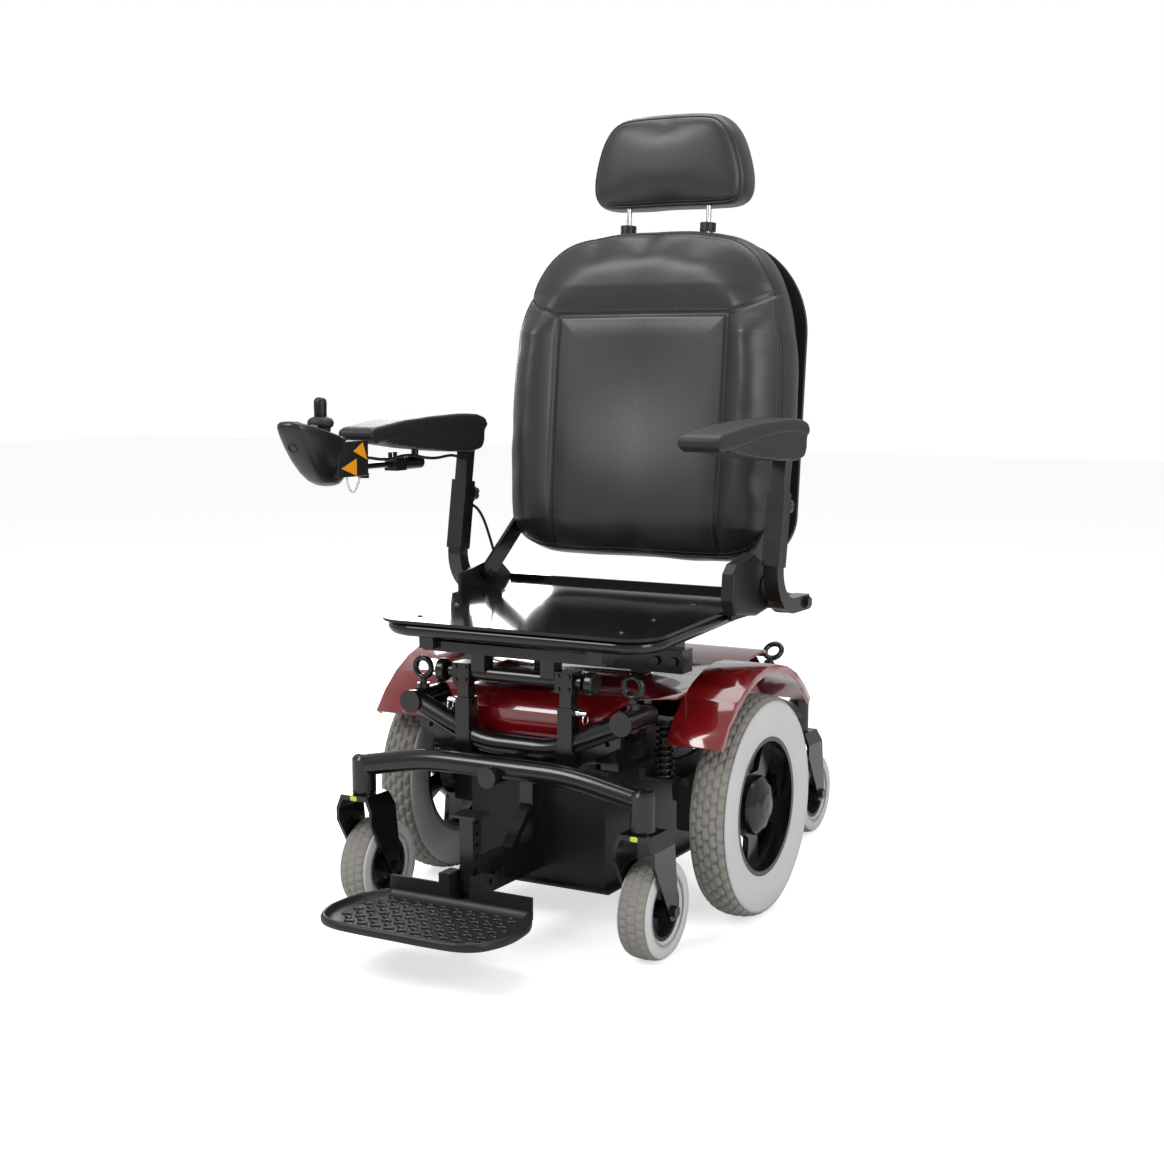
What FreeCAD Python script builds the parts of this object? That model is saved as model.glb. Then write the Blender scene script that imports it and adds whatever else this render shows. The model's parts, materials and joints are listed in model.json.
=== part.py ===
import FreeCAD, Part
import math
import os

# Power wheelchair with a captain's seat, mid-wheel drive, millimetres.
# +X is the user's left, -Y is the direction of travel, +Z is up.
# The origin is on the floor, midway between the drive wheels and under their axle.

# ---- driving dimensions -------------------------------------------------------------------
RUN_GAP = 0.3            # air between curved or soft neighbours that move
PIN_FIT = 0.05           # radial clearance of a turning pin in its bore
SLIDE_FIT = 0.2          # gap on each side of a square post in its sleeve

# drive wheels
DRIVE_R = 177.8
DRIVE_W = 66.0
DRIVE_X = 286.0          # centre plane of the tyre
RIM_R = 113.0
RIM_WALL = 9.0
RIM_SEAT = 26.0          # half width of the rim inside the tyre
WHEEL_DISC_X = -2.0      # disc face, measured outward from the tyre's centre plane
HUB_CAP_R = 48.0
HUB_CAP_H = 20.0
SPOKES = 5
AXLE_R = 10.0

# casters
CASTER_R = 76.0
CASTER_W = 50.0
CASTER_RIM_R = 46.0
CASTER_SPOKES = 5
CASTER_AXLE_R = 6.0
TRAIL = 35.0             # stem axis to wheel axle, level
FORK_WALL = 5.0
FORK_SIDE_GAP = 4.0      # tyre to fork leg
FORK_TOP_Z = 200.0
FORK_CROWN_T = 8.0
FORK_SHOULDER = 22.0     # height of the sloping shoulder
FORK_CROWN_HALF = 25.0   # half width of the flat crown
FORK_CROWN_DEPTH = 58.0
FORK_FOOT_R = 15.0       # round end of the leg at the axle
STEM_R = 9.0
HOUSING_R = 19.0
HOUSING_H = 54.0
HOUSING_DOME = 8.0
FRONT_STEM = (249.0, -308.7)
REAR_STEM = (172.0, 475.0)

# front caster beam and its pivot
BEAM_R = 17.0
BEAM_END_Z = 247.0
BEAM_MID_Z = 267.0
BEAM_PIVOT_Z = 258.0
PIVOT_R = 9.0
PIVOT_BOSS_R = 15.0
PIVOT_CAP_T = 7.0

# frame
RAIL_W = 30.0
RAIL_H = 40.0
RAIL_X = 147.0
RAIL_Z = 282.0
RAIL_FRONT = -222.0
RAIL_REAR = 330.0
CROSS_R = 17.0           # front cross tube
CROSS_Y = -245.0
CROSS_END = (193.0, 345.0)
CROSS_LOW = (66.0, 289.0)
CROSS_BEND = 150.0
CAP_T = 4.0
CAP_LIP = 1.5
REAR_TUBE_R = 16.0

# seat height posts and cross rod
POST_X = 92.0
SLEEVE_W = 25.0
SLEEVE_WALL = 2.3
SLEEVE_Z = (290.0, 360.0)
POST_TOP_Z = 384.0
ROD_R = 11.0
ROD_Y = -251.8
ROD_Z = 399.4
ROD_HALF = 118.0
CLAMP_W = 30.0
CLAMP_H = 32.0
ROD_KNOB_R = 18.0
ROD_KNOB_T = 14.0
PIN_R = 4.0
PIN_Z = 352.0
PIN_OUT = 20.0
PIN_DEPTH = 6.0          # plunger's reach past the sleeve's inner face

# seat
SEAT_HALF = 250.0
SEAT_FRONT = -288.0
SEAT_REAR = 126.0
SEAT_T = 5.0
SEAT_TOP_Z = 479.7       # top of the plate at SEAT_REF_Y
SEAT_REF_Y = -250.0
SEAT_TILT = 2.9          # degrees, rear edge higher
SEAT_CORNER = 55.0
SEAT_LIP = 9.0
SEAT_TUBE_R = 11.0
SEAT_TUBE_IN = 14.0      # tube centreline inside the plate's edge
SEAT_BOLT_X = 180.0
SEAT_BOLT_Y = (-247.5, -140.2, 2.9)
CROSSBAR_W = 38.0
CROSSBAR_HALF = 175.0
CROSSBAR_Y = -10.0
CROSSBAR_Z = 402.0

# backrest and headrest
HINGE_Y = 55.0
HINGE_Z = 515.0
BACK_HALF = 264.0
BACK_BOTTOM = 546.0
BACK_TOP = 1110.0
BACK_FRONT_Y = 124.0     # bolster front at the bottom
BACK_DEPTH = 100.0
BACK_LEAN = 6.0          # degrees
BACK_TOP_CORNER = 175.0
BACK_LOW_CORNER = 85.0
SHELL_T = 16.0
HEAD_POST_X = 77.0
HEAD_POST_R = 5.0
HEAD_POST_Y = 272.0
HEAD_POST_DEEP = 120.0
HEAD_Z = (1142.0, 1306.0)
HEAD_HALF = 149.0
HEAD_Y = (236.0, 334.0)
GUIDE_R = 14.0
GUIDE_H = 14.0

# armrests
ARM_X = 299.0
ARM_TUBE = 25.0
ARM_SLEEVE = 29.5
ARM_POST = 22.5
ARM_LEAN = 9.5           # degrees rearward
ARM_PIVOT_Y = 157.0
ARM_PIVOT_Z = 487.0
ARM_FOOT_Y = 34.5        # where the leaning leg meets the level leg
ARM_BEND = 62.0
ARM_SLEEVE_Z = (556.0, 674.0)
ARM_POST_TOP_Z = 733.0
ARM_PIN_R = 6.0
ARM_KNOB_R = 14.0
ARM_KNOB_T = 13.0
PAD_HALF = 34.0
PAD_X = 303.0
RECEIVER_HALF = 276.0

# battery box and drive units
BOX_HALF = 122.0
BOX_FRONT = -190.0
BOX_REAR = 128.0
BOX_Z = (60.0, 252.0)
BOX_WALL = 4.0
BOX_FLANGE = 14.0
UNIT_PIVOT_Y = 100.0
UNIT_PIVOT_Z = 238.0
UNIT_PIN_R = 8.0
ARM_PLATE_X = (168.0, 178.0)
GEARBOX_X = (178.0, 246.0)
GEARBOX_HALF = 52.0
MOTOR_R = 37.0
MOTOR_LEN = 165.0
STRUT_Y = -150.0
STRUT_X = 205.0

# shroud
DECK_HALF = 224.0
SHROUD_T = 3.5
FENDER_R = 226.0
FENDER_X = (222.0, 314.0)
FENDER_Y = 4.0

# footrest
COLUMN_W = 23.0
COLUMN_FRONT = -397.0
COLUMN_Z = (77.0, 210.0)
COLUMN_CAP = 43.0
FOOT_ARM_Z = (85.0, 138.0)
FOOT_BLOCK_X = (18.0, 37.0)
FOOT_HINGE_Y = -386.0
FOOT_HINGE_Z = 116.0
FOOT_HALF_REAR = 124.0
FOOT_FRONT = -594.0
FOOT_REAR = -412.0
FOOT_Z = 77.0
FOOT_T = 5.0
FOOT_RIM = 14.0
FOOT_WALL = 34.0

# joystick, on the user's right armrest
STICK_X = -305.0
STICK_Y = -332.0
POD_HALF = 34.0
POD_SLOPE = 15.0         # degrees, nose up
POD_ROUND = 3.0
SWING_X = -341.0
SWING_Y = -251.0
CABLE_R = 2.5
CHAIN_R = 2.0

V = FreeCAD.Vector
X_AXIS = V(1, 0, 0)
Y_AXIS = V(0, 1, 0)
Z_AXIS = V(0, 0, 1)
ORIGIN = V(0, 0, 0)
SIDES = (("left", 1), ("right", -1))


# ---- helpers ------------------------------------------------------------------------------
def block(x0, x1, y0, y1, z0, z1):
    return Part.makeBox(x1 - x0, y1 - y0, z1 - z0, V(x0, y0, z0))


def rod(start, end, radius):
    start, end = V(*start), V(*end)
    return Part.makeCylinder(radius, (end - start).Length, start, end - start)


def pipe(start, end, radius, bore):
    return rod(start, end, radius).cut(rod(start, end, bore))


def fused(shapes):
    whole = shapes[0]
    if len(shapes) > 1:
        whole = shapes[0].multiFuse(shapes[1:])
    return whole.removeSplitter()


def flipped(shape):
    return shape.mirror(ORIGIN, X_AXIS)


def sided(shape, side):
    return shape if side > 0 else flipped(shape)


def both(shape):
    return [shape, flipped(shape)]


def turned(shape, base, axis, degrees):
    copy = shape.copy()
    copy.rotate(base, axis, degrees)
    return copy


def prism(points, depth, plane="YZ", offset=0.0):
    """Extrudes a closed outline. plane YZ runs along +X from offset, XZ along +Y, XY along +Z."""
    if plane == "YZ":
        corners = [V(offset, a, b) for a, b in points]
        along = V(depth, 0, 0)
    elif plane == "XZ":
        corners = [V(a, offset, b) for a, b in points]
        along = V(0, depth, 0)
    else:
        corners = [V(a, b, offset) for a, b in points]
        along = V(0, 0, depth)
    outline = Part.makePolygon(corners + corners[:1])
    return Part.Face(outline).extrude(along)


def lathe_x(profile, y=0.0, z=0.0):
    """Turns (x, radius) points about the X axis through (y, z)."""
    corners = [V(x, y, z + r) for x, r in profile]
    face = Part.Face(Part.makePolygon(corners + corners[:1]))
    return face.revolve(V(0, y, z), X_AXIS, 360)


def lathe_z(profile, x=0.0, y=0.0):
    """Turns (radius, z) points about the Z axis through (x, y)."""
    corners = [V(x + r, y, z) for r, z in profile]
    face = Part.Face(Part.makePolygon(corners + corners[:1]))
    return face.revolve(V(x, y, 0), Z_AXIS, 360)


def softened(shape, radius, test=None):
    """Rounds the edges that pass the test, or all of them."""
    edges = [e for e in shape.Edges if test is None or test(e)]
    return shape.makeFillet(radius, edges)


def lies_along(edge, axis):
    if edge.Length < 1e-6 or not isinstance(edge.Curve, (Part.Line, Part.LineSegment)):
        return False
    way = edge.tangentAt(edge.FirstParameter)
    return abs(way.dot(axis)) > 0.999


def bent_path(points, radius=None, share=0.45):
    """Straight runs joined by tangent arcs. Without a radius each arc is as large as its runs allow."""
    points = [V(*p) for p in points]
    edges = []
    here = points[0]
    for before, corner, after in zip(points, points[1:], points[2:]):
        run_in = (corner - before)
        run_out = (after - corner)
        turn = run_in.getAngle(run_out)
        bend = radius
        if bend is None:
            bend = share * min(run_in.Length, run_out.Length) / math.tan(turn / 2)
        reach = bend * math.tan(turn / 2)
        way_in = V(run_in).normalize()
        way_out = V(run_out).normalize()
        arc_start = corner - way_in * reach
        arc_end = corner + way_out * reach
        inward = (way_out - way_in).normalize()
        centre = corner + inward * (bend / math.cos(turn / 2))
        arc_mid = centre - inward * bend
        edges.append(Part.LineSegment(here, arc_start).toShape())
        edges.append(Part.Arc(arc_start, arc_mid, arc_end).toShape())
        here = arc_end
    edges.append(Part.LineSegment(here, points[-1]).toShape())
    return Part.Wire(edges)


def along_path(path, outline):
    return path.makePipeShell([outline], True, False)


def round_tube(points, radius, bend=None, bore=0.0):
    path = bent_path(points, bend)
    way = V(*points[1]) - V(*points[0])
    outer = along_path(path, Part.Wire(Part.makeCircle(radius, V(*points[0]), way)))
    if bore <= 0:
        return outer
    return outer.cut(along_path(path, Part.Wire(Part.makeCircle(bore, V(*points[0]), way))))


def bolt_head(centre, way, radius, height):
    """A hexagonal head standing on centre, pointing along way."""
    corners = [V(radius * math.cos(k * math.pi / 3), radius * math.sin(k * math.pi / 3), 0) for k in range(7)]
    head = Part.Face(Part.makePolygon(corners)).extrude(V(0, 0, height))
    head.Placement = FreeCAD.Placement(V(*centre), FreeCAD.Rotation(Z_AXIS, V(*way)))
    return head


def largest(shape):
    """The biggest solid, without the crumbs that a cut leaves."""
    return max(shape.Solids, key=lambda solid: solid.Volume)


def save(name, shapes):
    shapes = shapes if isinstance(shapes, list) else [shapes]
    whole = shapes[0] if len(shapes) == 1 else Part.makeCompound(shapes)
    bad = [s for s in whole.Solids if not s.isValid()]
    print(f"{name}: {len(whole.Solids)} solids, {whole.Volume / 1000:.1f} cm3, invalid {len(bad)}")
    whole.exportStep(f"parts/{name}.step")


# ---- wheels -------------------------------------------------------------------------------
def tyre_profile(radius, width, seat_r, seat_half):
    half = width / 2
    crown = half * 0.55
    return [(-seat_half, seat_r), (-half, seat_r + 0.35 * (radius - seat_r)),
            (-half, radius - 0.42 * (radius - seat_r)), (-crown, radius - 3), (-crown * 0.5, radius),
            (crown * 0.5, radius), (crown, radius - 3), (half, radius - 0.42 * (radius - seat_r)),
            (half, seat_r + 0.35 * (radius - seat_r)), (seat_half, seat_r)]


def drive_tyre():
    outline = tyre_profile(DRIVE_R, DRIVE_W, RIM_R, RIM_SEAT)
    return lathe_x([(DRIVE_X + x, r) for x, r in outline], 0, DRIVE_R)


def drive_rim():
    """Spoked rim with a domed cap over the axle nut."""
    disc = DRIVE_X + WHEEL_DISC_X
    barrel = lathe_x([(DRIVE_X - RIM_SEAT, RIM_R - RIM_WALL), (DRIVE_X - RIM_SEAT, RIM_R),
                      (DRIVE_X + RIM_SEAT, RIM_R), (DRIVE_X + RIM_SEAT, RIM_R - RIM_WALL)], 0, DRIVE_R)
    plate = lathe_x([(disc - 5, AXLE_R), (disc - 5, RIM_R - RIM_WALL + 1), (disc + 5, RIM_R - RIM_WALL + 1),
                     (disc + 5, AXLE_R)], 0, DRIVE_R)
    hub = lathe_x([(disc - 24, AXLE_R), (disc - 24, HUB_CAP_R - 14), (disc - 5, HUB_CAP_R), (disc + 12, HUB_CAP_R),
                   (disc + 12, AXLE_R)], 0, DRIVE_R)
    windows = []
    for k in range(SPOKES):
        inner, outer, spread = HUB_CAP_R + 7, RIM_R - RIM_WALL - 5, 23
        corners = []
        for r, a in ((inner, -spread + 5), (outer, -spread), (outer, 0), (outer, spread), (inner, spread - 5)):
            angle = math.radians(a + 90 + k * 360 / SPOKES)
            corners.append((r * math.cos(angle), DRIVE_R + r * math.sin(angle)))
        windows.append(prism(corners, 20, "YZ", disc - 10))
    spider = plate.cut(Part.makeCompound(windows))
    rim = fused([barrel, spider, hub])
    cap_base = disc + 12
    cap = lathe_x([(cap_base, 0), (cap_base, HUB_CAP_R), (cap_base + 5, HUB_CAP_R - 2),
                   (cap_base + 0.6 * HUB_CAP_H, HUB_CAP_R * 0.75), (cap_base + 0.9 * HUB_CAP_H, HUB_CAP_R * 0.4),
                   (cap_base + HUB_CAP_H, 0)], 0, DRIVE_R)
    return [rim, cap]


def caster_wheel(x, y):
    """Tyre, spoked hub and its turning sleeve, wheel axle along X through (y, CASTER_R)."""
    half = CASTER_W / 2
    outline = tyre_profile(CASTER_R, CASTER_W, CASTER_RIM_R, half * 0.8)
    tyre = lathe_x([(x + a, r) for a, r in outline], y, CASTER_R)
    bore = CASTER_AXLE_R + PIN_FIT
    barrel = lathe_x([(x - half * 0.8, CASTER_RIM_R - 6), (x - half * 0.8, CASTER_RIM_R),
                      (x + half * 0.8, CASTER_RIM_R), (x + half * 0.8, CASTER_RIM_R - 6)], y, CASTER_R)
    disc = lathe_x([(x - 4, bore), (x - 4, CASTER_RIM_R - 5), (x + 4, CASTER_RIM_R - 5), (x + 4, bore)], y, CASTER_R)
    hub = lathe_x([(x - half - 2, bore), (x - half - 2, 14), (x + half + 2, 14), (x + half + 2, bore)], y, CASTER_R)
    holes = []
    for k in range(CASTER_SPOKES):
        angle = math.radians(90 + k * 360 / CASTER_SPOKES)
        at = (y + 27 * math.cos(angle), CASTER_R + 27 * math.sin(angle))
        holes.append(rod((x - 8, *at), (x + 8, *at), 9))
    return [tyre, fused([barrel, disc.cut(Part.makeCompound(holes)), hub])]


def caster_fork(x, y):
    """Fork with its stem; the wheel trails behind (+Y) the stem at (x, y)."""
    axle_y = y + TRAIL
    inside = CASTER_W / 2 + FORK_SIDE_GAP
    outside = inside + FORK_WALL
    crown_z = FORK_TOP_Z
    shoulder_z = crown_z - FORK_SHOULDER
    front, rear = y - FORK_CROWN_DEPTH / 2, y + FORK_CROWN_DEPTH / 2
    outer = [(x - outside, CASTER_R - FORK_FOOT_R), (x - outside, shoulder_z), (x - FORK_CROWN_HALF, crown_z),
             (x + FORK_CROWN_HALF, crown_z), (x + outside, shoulder_z), (x + outside, CASTER_R - FORK_FOOT_R)]
    drop = FORK_CROWN_T
    inner = [(x - inside, CASTER_R - FORK_FOOT_R - 1), (x - inside, shoulder_z - 2),
             (x - FORK_CROWN_HALF + 3, crown_z - drop), (x + FORK_CROWN_HALF - 3, crown_z - drop),
             (x + inside, shoulder_z - 2), (x + inside, CASTER_R - FORK_FOOT_R - 1)]
    depth = axle_y + FORK_FOOT_R - front
    shell = prism(outer, depth, "XZ", front).cut(prism(inner, depth, "XZ", front))
    side = [(front, crown_z + 1), (rear, crown_z + 1), (rear + 8, shoulder_z),
            (axle_y + FORK_FOOT_R, CASTER_R), (axle_y + FORK_FOOT_R * 0.7, CASTER_R - FORK_FOOT_R * 0.7),
            (axle_y, CASTER_R - FORK_FOOT_R), (axle_y - FORK_FOOT_R * 0.7, CASTER_R - FORK_FOOT_R * 0.7),
            (axle_y - FORK_FOOT_R, CASTER_R), (front, shoulder_z - 20)]
    shell = shell.common(prism(side, 4 * outside, "YZ", x - 2 * outside))
    stem = rod((x, y, crown_z - 2), (x, y, crown_z + HOUSING_H - 6), STEM_R)
    collar = rod((x, y, crown_z - 1), (x, y, crown_z + 1.2), HOUSING_R - 4)
    axle = rod((x - outside - 2, axle_y, CASTER_R), (x + outside + 2, axle_y, CASTER_R), CASTER_AXLE_R)
    heads = [bolt_head((x + s * (outside - 0.2), axle_y, CASTER_R), (s, 0, 0), 9.5, 6) for s in (1, -1)]
    return fused([shell, stem, collar, axle] + heads)


def caster_housing(x, y):
    """Closed-top barrel that the fork's stem turns in."""
    base = FORK_TOP_Z + 1.5
    top = base + HOUSING_H
    barrel = lathe_z([(0, base), (HOUSING_R, base), (HOUSING_R, top), (HOUSING_R * 0.8, top + HOUSING_DOME * 0.6),
                      (HOUSING_R * 0.4, top + HOUSING_DOME * 0.95), (0, top + HOUSING_DOME)], x, y)
    bore = rod((x, y, base - 1), (x, y, FORK_TOP_Z + HOUSING_H - 5), STEM_R + PIN_FIT)
    return barrel, bore


def caster_beam():
    """Arched tube with a caster housing at each end and a bearing boss at its middle."""
    x, y = FRONT_STEM
    quarter = x * 0.52
    points = [(-x, y, BEAM_END_Z - 3), (-quarter, y, BEAM_MID_Z + 1), (quarter, y, BEAM_MID_Z + 1),
              (x, y, BEAM_END_Z - 3)]
    tube = round_tube(points, BEAM_R, 420)
    boss = rod((0, y - BEAM_R - 8, BEAM_PIVOT_Z), (0, y + BEAM_R + 4, BEAM_PIVOT_Z), PIVOT_BOSS_R)
    cap = rod((0, y - BEAM_R - 8 - PIVOT_CAP_T, BEAM_PIVOT_Z), (0, y - BEAM_R - 7, BEAM_PIVOT_Z), PIVOT_BOSS_R + 1)
    bore = rod((0, y - BEAM_R - 7, BEAM_PIVOT_Z), (0, y + BEAM_R + 10, BEAM_PIVOT_Z), PIVOT_R + PIN_FIT)
    barrels, bores = zip(*(caster_housing(s * x, y) for s in (1, -1)))
    return fused([tube, boss, cap] + list(barrels)).cut(bore).cut(Part.makeCompound(list(bores)))


# ---- frame --------------------------------------------------------------------------------
def frame_rails():
    """Two box rails with cross members, seat post sockets and the rear caster mounts."""
    rail = block(RAIL_X - RAIL_W / 2, RAIL_X + RAIL_W / 2, RAIL_FRONT, RAIL_REAR,
                 RAIL_Z - RAIL_H / 2, RAIL_Z + RAIL_H / 2)
    x, y = REAR_STEM
    reach = [(RAIL_X, RAIL_REAR - 20, RAIL_Z - 6), (RAIL_X, RAIL_REAR + 50, RAIL_Z - 14), (x, y - 6, 232)]
    arm = round_tube(reach, REAR_TUBE_R, 60)
    lug = block(RAIL_X + RAIL_W / 2 - 1, ARM_PLATE_X[0] - 1, UNIT_PIVOT_Y - 14, UNIT_PIVOT_Y + 14,
                UNIT_PIVOT_Z - 14, RAIL_Z)
    pin = rod((ARM_PLATE_X[0] - 3, UNIT_PIVOT_Y, UNIT_PIVOT_Z), (ARM_PLATE_X[1] + 5, UNIT_PIVOT_Y, UNIT_PIVOT_Z),
              UNIT_PIN_R)
    strut_seat = block(RAIL_X, STRUT_X + 15, STRUT_Y - 16, STRUT_Y + 16, 330, 336)
    strut_post = block(RAIL_X - 10, RAIL_X + 10, STRUT_Y - 12, STRUT_Y + 12, RAIL_Z, 333)
    half = [rail, arm, lug, pin, strut_seat, strut_post]
    cross = [block(-RAIL_X, RAIL_X, y0, y0 + 25, RAIL_Z - RAIL_H / 2 + 8, RAIL_Z + RAIL_H / 2)
             for y0 in (RAIL_FRONT, CROSSBAR_Y - 12.5, RAIL_REAR - 40)]
    barrels, bores = zip(*(caster_housing(s * x, y) for s in (1, -1)))
    whole = half + [flipped(s) for s in half] + cross + list(barrels)
    return fused(whole).cut(Part.makeCompound(list(bores)))


def front_cross_tube():
    """Bent tube with capped ends, seat post sleeves, slotted braces and the beam's pivot pin."""
    end_x, end_z = CROSS_END
    low_x, low_z = CROSS_LOW
    points = [(-end_x, CROSS_Y, end_z), (-low_x, CROSS_Y, low_z), (low_x, CROSS_Y, low_z), (end_x, CROSS_Y, end_z)]
    tube = round_tube(points, CROSS_R, CROSS_BEND)
    rise = V(end_x - low_x, 0, end_z - low_z).normalize()
    cap = Part.makeCylinder(CROSS_R + CAP_LIP, CAP_T, V(end_x, CROSS_Y, end_z), rise)
    forward = rod((end_x - 4, CROSS_Y - 18, end_z), (end_x - 4, RAIL_FRONT + 48, end_z), CROSS_R)
    face = rod((end_x - 4, CROSS_Y - 22, end_z), (end_x - 4, CROSS_Y - 18, end_z), CROSS_R + CAP_LIP)
    drop = block(RAIL_X - RAIL_W / 2, end_x - 6, RAIL_FRONT + 20, RAIL_FRONT + 44, RAIL_Z, end_z)
    brace = prism([(POST_X, 262), (POST_X, 282), (end_x - 12, 326), (end_x - 12, 306)], 14, "XZ", CROSS_Y - 6)
    slot = rod((end_x - 34, CROSS_Y - 12, 309), (end_x - 34, CROSS_Y + 12, 309), 4)
    sleeve_y = (ROD_Y - SLEEVE_W / 2, ROD_Y + SLEEVE_W / 2)
    sleeve = block(POST_X - SLEEVE_W / 2, POST_X + SLEEVE_W / 2, *sleeve_y, *SLEEVE_Z)
    inside = SLEEVE_W / 2 - SLEEVE_WALL
    foot = block(POST_X - SLEEVE_W / 2 - 3, POST_X + SLEEVE_W / 2 + 3, *sleeve_y, 268, SLEEVE_Z[0] + 4)
    half = [cap, forward, face, drop, brace.cut(slot), sleeve, foot]
    ties = [block(s * RAIL_X - 12, s * RAIL_X + 12, CROSS_Y, RAIL_FRONT + 2, RAIL_Z - 4, RAIL_Z + 14)
            for s in (1, -1)]
    pad = block(-20, 20, CROSS_Y - 14, RAIL_FRONT + 2, BEAM_PIVOT_Z - 18, low_z)
    pin = rod((0, CROSS_Y - 10, BEAM_PIVOT_Z), (0, FRONT_STEM[1] - BEAM_R - 6, BEAM_PIVOT_Z), PIVOT_R)
    whole = fused([tube, pad, pin] + ties + half + [flipped(s) for s in half])
    bores = [block(s * POST_X - inside, s * POST_X + inside, ROD_Y - inside, ROD_Y + inside,
                   SLEEVE_Z[0] + 5, SLEEVE_Z[1] + 1) for s in (1, -1)]
    pins = [rod((s * (POST_X - 30), ROD_Y, PIN_Z), (s * (POST_X + 30), ROD_Y, PIN_Z), PIN_R + PIN_FIT)
            for s in (1, -1)]
    return whole.cut(Part.makeCompound(bores + pins))


def tie_down_eyes():
    """Four forged eye bolts for strapping the chair down in a vehicle."""
    eyes = []
    for x, y, z, lean in ((CROSS_END[0] - 4, CROSS_Y + 18, CROSS_END[1] + CROSS_R - 0.5, 0), (186, 296, 348, -42)):
        shank = rod((x, y, z - 2), (x, y, z + 16), 6)
        collar = rod((x, y, z), (x, y, z + 8), 10)
        ring = Part.makeTorus(15, 4.8, V(x, y, z + 33), Y_AXIS)
        eye = turned(fused([shank, collar, ring]), V(x, y, z), X_AXIS, lean)
        if y > 0:
            eye = fused([eye, block(RAIL_X + 2, x + 8, y - 10, y + 10, RAIL_Z, z)])
        eyes += both(eye)
    return eyes


def battery_box():
    """Open tray under the rails with a folded flange round its foot."""
    outer = block(-BOX_HALF, BOX_HALF, BOX_FRONT, BOX_REAR, BOX_Z[0], BOX_Z[1])
    inner = block(-BOX_HALF + BOX_WALL, BOX_HALF - BOX_WALL, BOX_FRONT + BOX_WALL, BOX_REAR - BOX_WALL,
                  BOX_Z[0] + BOX_WALL, BOX_Z[1] + 1)
    flange = block(-BOX_HALF - BOX_FLANGE, BOX_HALF + BOX_FLANGE, BOX_FRONT - BOX_FLANGE, BOX_REAR + BOX_FLANGE,
                   BOX_Z[0], BOX_Z[0] + BOX_WALL)
    rim = block(-BOX_HALF - 9, BOX_HALF + 9, BOX_FRONT - 6, BOX_REAR + 6, BOX_Z[1] - 10, BOX_Z[1])
    ears = [block(s * (BOX_HALF + 4) - 10, s * (BOX_HALF + 4) + 10, y0, y0 + 30, BOX_Z[1] - 10, RAIL_Z - RAIL_H / 2)
            for s in (1, -1) for y0 in (-150, 70)]
    return fused([outer, flange, rim] + ears).cut(inner)


def batteries():
    middle = (BOX_FRONT + BOX_REAR) / 2
    cases = []
    for y0, y1 in ((BOX_FRONT + BOX_WALL + 4, middle - 2), (middle + 2, BOX_REAR - BOX_WALL - 4)):
        case = block(-BOX_HALF + BOX_WALL + 2, BOX_HALF - BOX_WALL - 2, y0, y1, BOX_Z[0] + BOX_WALL, 236)
        posts = [rod((x, (y0 + y1) / 2, 235), (x, (y0 + y1) / 2, 248), 8) for x in (-70, 70)]
        cases.append(fused([case] + posts))
    return cases


def control_module():
    case = block(-88, 88, 150, 286, RAIL_Z - RAIL_H / 2 + 4, RAIL_Z + RAIL_H / 2 - 4)
    shelf = block(-RAIL_X + RAIL_W / 2, RAIL_X - RAIL_W / 2, 146, RAIL_REAR - 40, RAIL_Z - RAIL_H / 2,
                  RAIL_Z - RAIL_H / 2 + 4)
    fins = [block(-80, 80, y, y + 4, RAIL_Z + RAIL_H / 2 - 4.5, RAIL_Z + RAIL_H / 2 + 6) for y in range(160, 276, 16)]
    return fused([case, shelf] + fins)


# ---- drive units --------------------------------------------------------------------------
def drive_unit():
    """Swing arm with its gear-motor and axle on the user's left; the wheel turns on the axle."""
    x0, x1 = ARM_PLATE_X
    plate = prism([(UNIT_PIVOT_Y + 20, UNIT_PIVOT_Z), (UNIT_PIVOT_Y, UNIT_PIVOT_Z + 18), (0, 246),
                   (STRUT_Y - 14, 256), (STRUT_Y - 14, 238), (-GEARBOX_HALF, 222), (-GEARBOX_HALF + 6, 180),
                   (GEARBOX_HALF - 6, 180), (GEARBOX_HALF, 212), (UNIT_PIVOT_Y, UNIT_PIVOT_Z - 18)], x1 - x0,
                  "YZ", x0)
    bore = rod((x0 - 1, UNIT_PIVOT_Y, UNIT_PIVOT_Z), (x1 + 1, UNIT_PIVOT_Y, UNIT_PIVOT_Z), UNIT_PIN_R + PIN_FIT)
    seat = block(x0, STRUT_X + 20, STRUT_Y - 14, STRUT_Y + 14, 238, 244)
    guide = rod((STRUT_X, STRUT_Y, 243), (STRUT_X, STRUT_Y, 312), 7)
    arm = fused([plate, seat, guide]).cut(bore)
    g0, g1 = GEARBOX_X
    gearbox = softened(block(g0, g1, -GEARBOX_HALF, GEARBOX_HALF, DRIVE_R - 46, DRIVE_R + 46), 9,
                       lambda e: lies_along(e, X_AXIS))
    nose = rod((g1 - 1, 0, DRIVE_R), (g1 + 8, 0, DRIVE_R), 30)
    axle = rod((g1, 0, DRIVE_R), (DRIVE_X + WHEEL_DISC_X + 11, 0, DRIVE_R), AXLE_R - PIN_FIT)
    at = (g0 + g1) / 2
    motor = rod((at, GEARBOX_HALF - 1, DRIVE_R - 6), (at, GEARBOX_HALF + MOTOR_LEN, DRIVE_R - 6), MOTOR_R)
    brake = rod((at, GEARBOX_HALF + MOTOR_LEN - 1, DRIVE_R - 6), (at, GEARBOX_HALF + MOTOR_LEN + 22, DRIVE_R - 6),
                MOTOR_R - 8)
    return [arm, fused([gearbox, nose, axle, motor, brake])]


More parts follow.
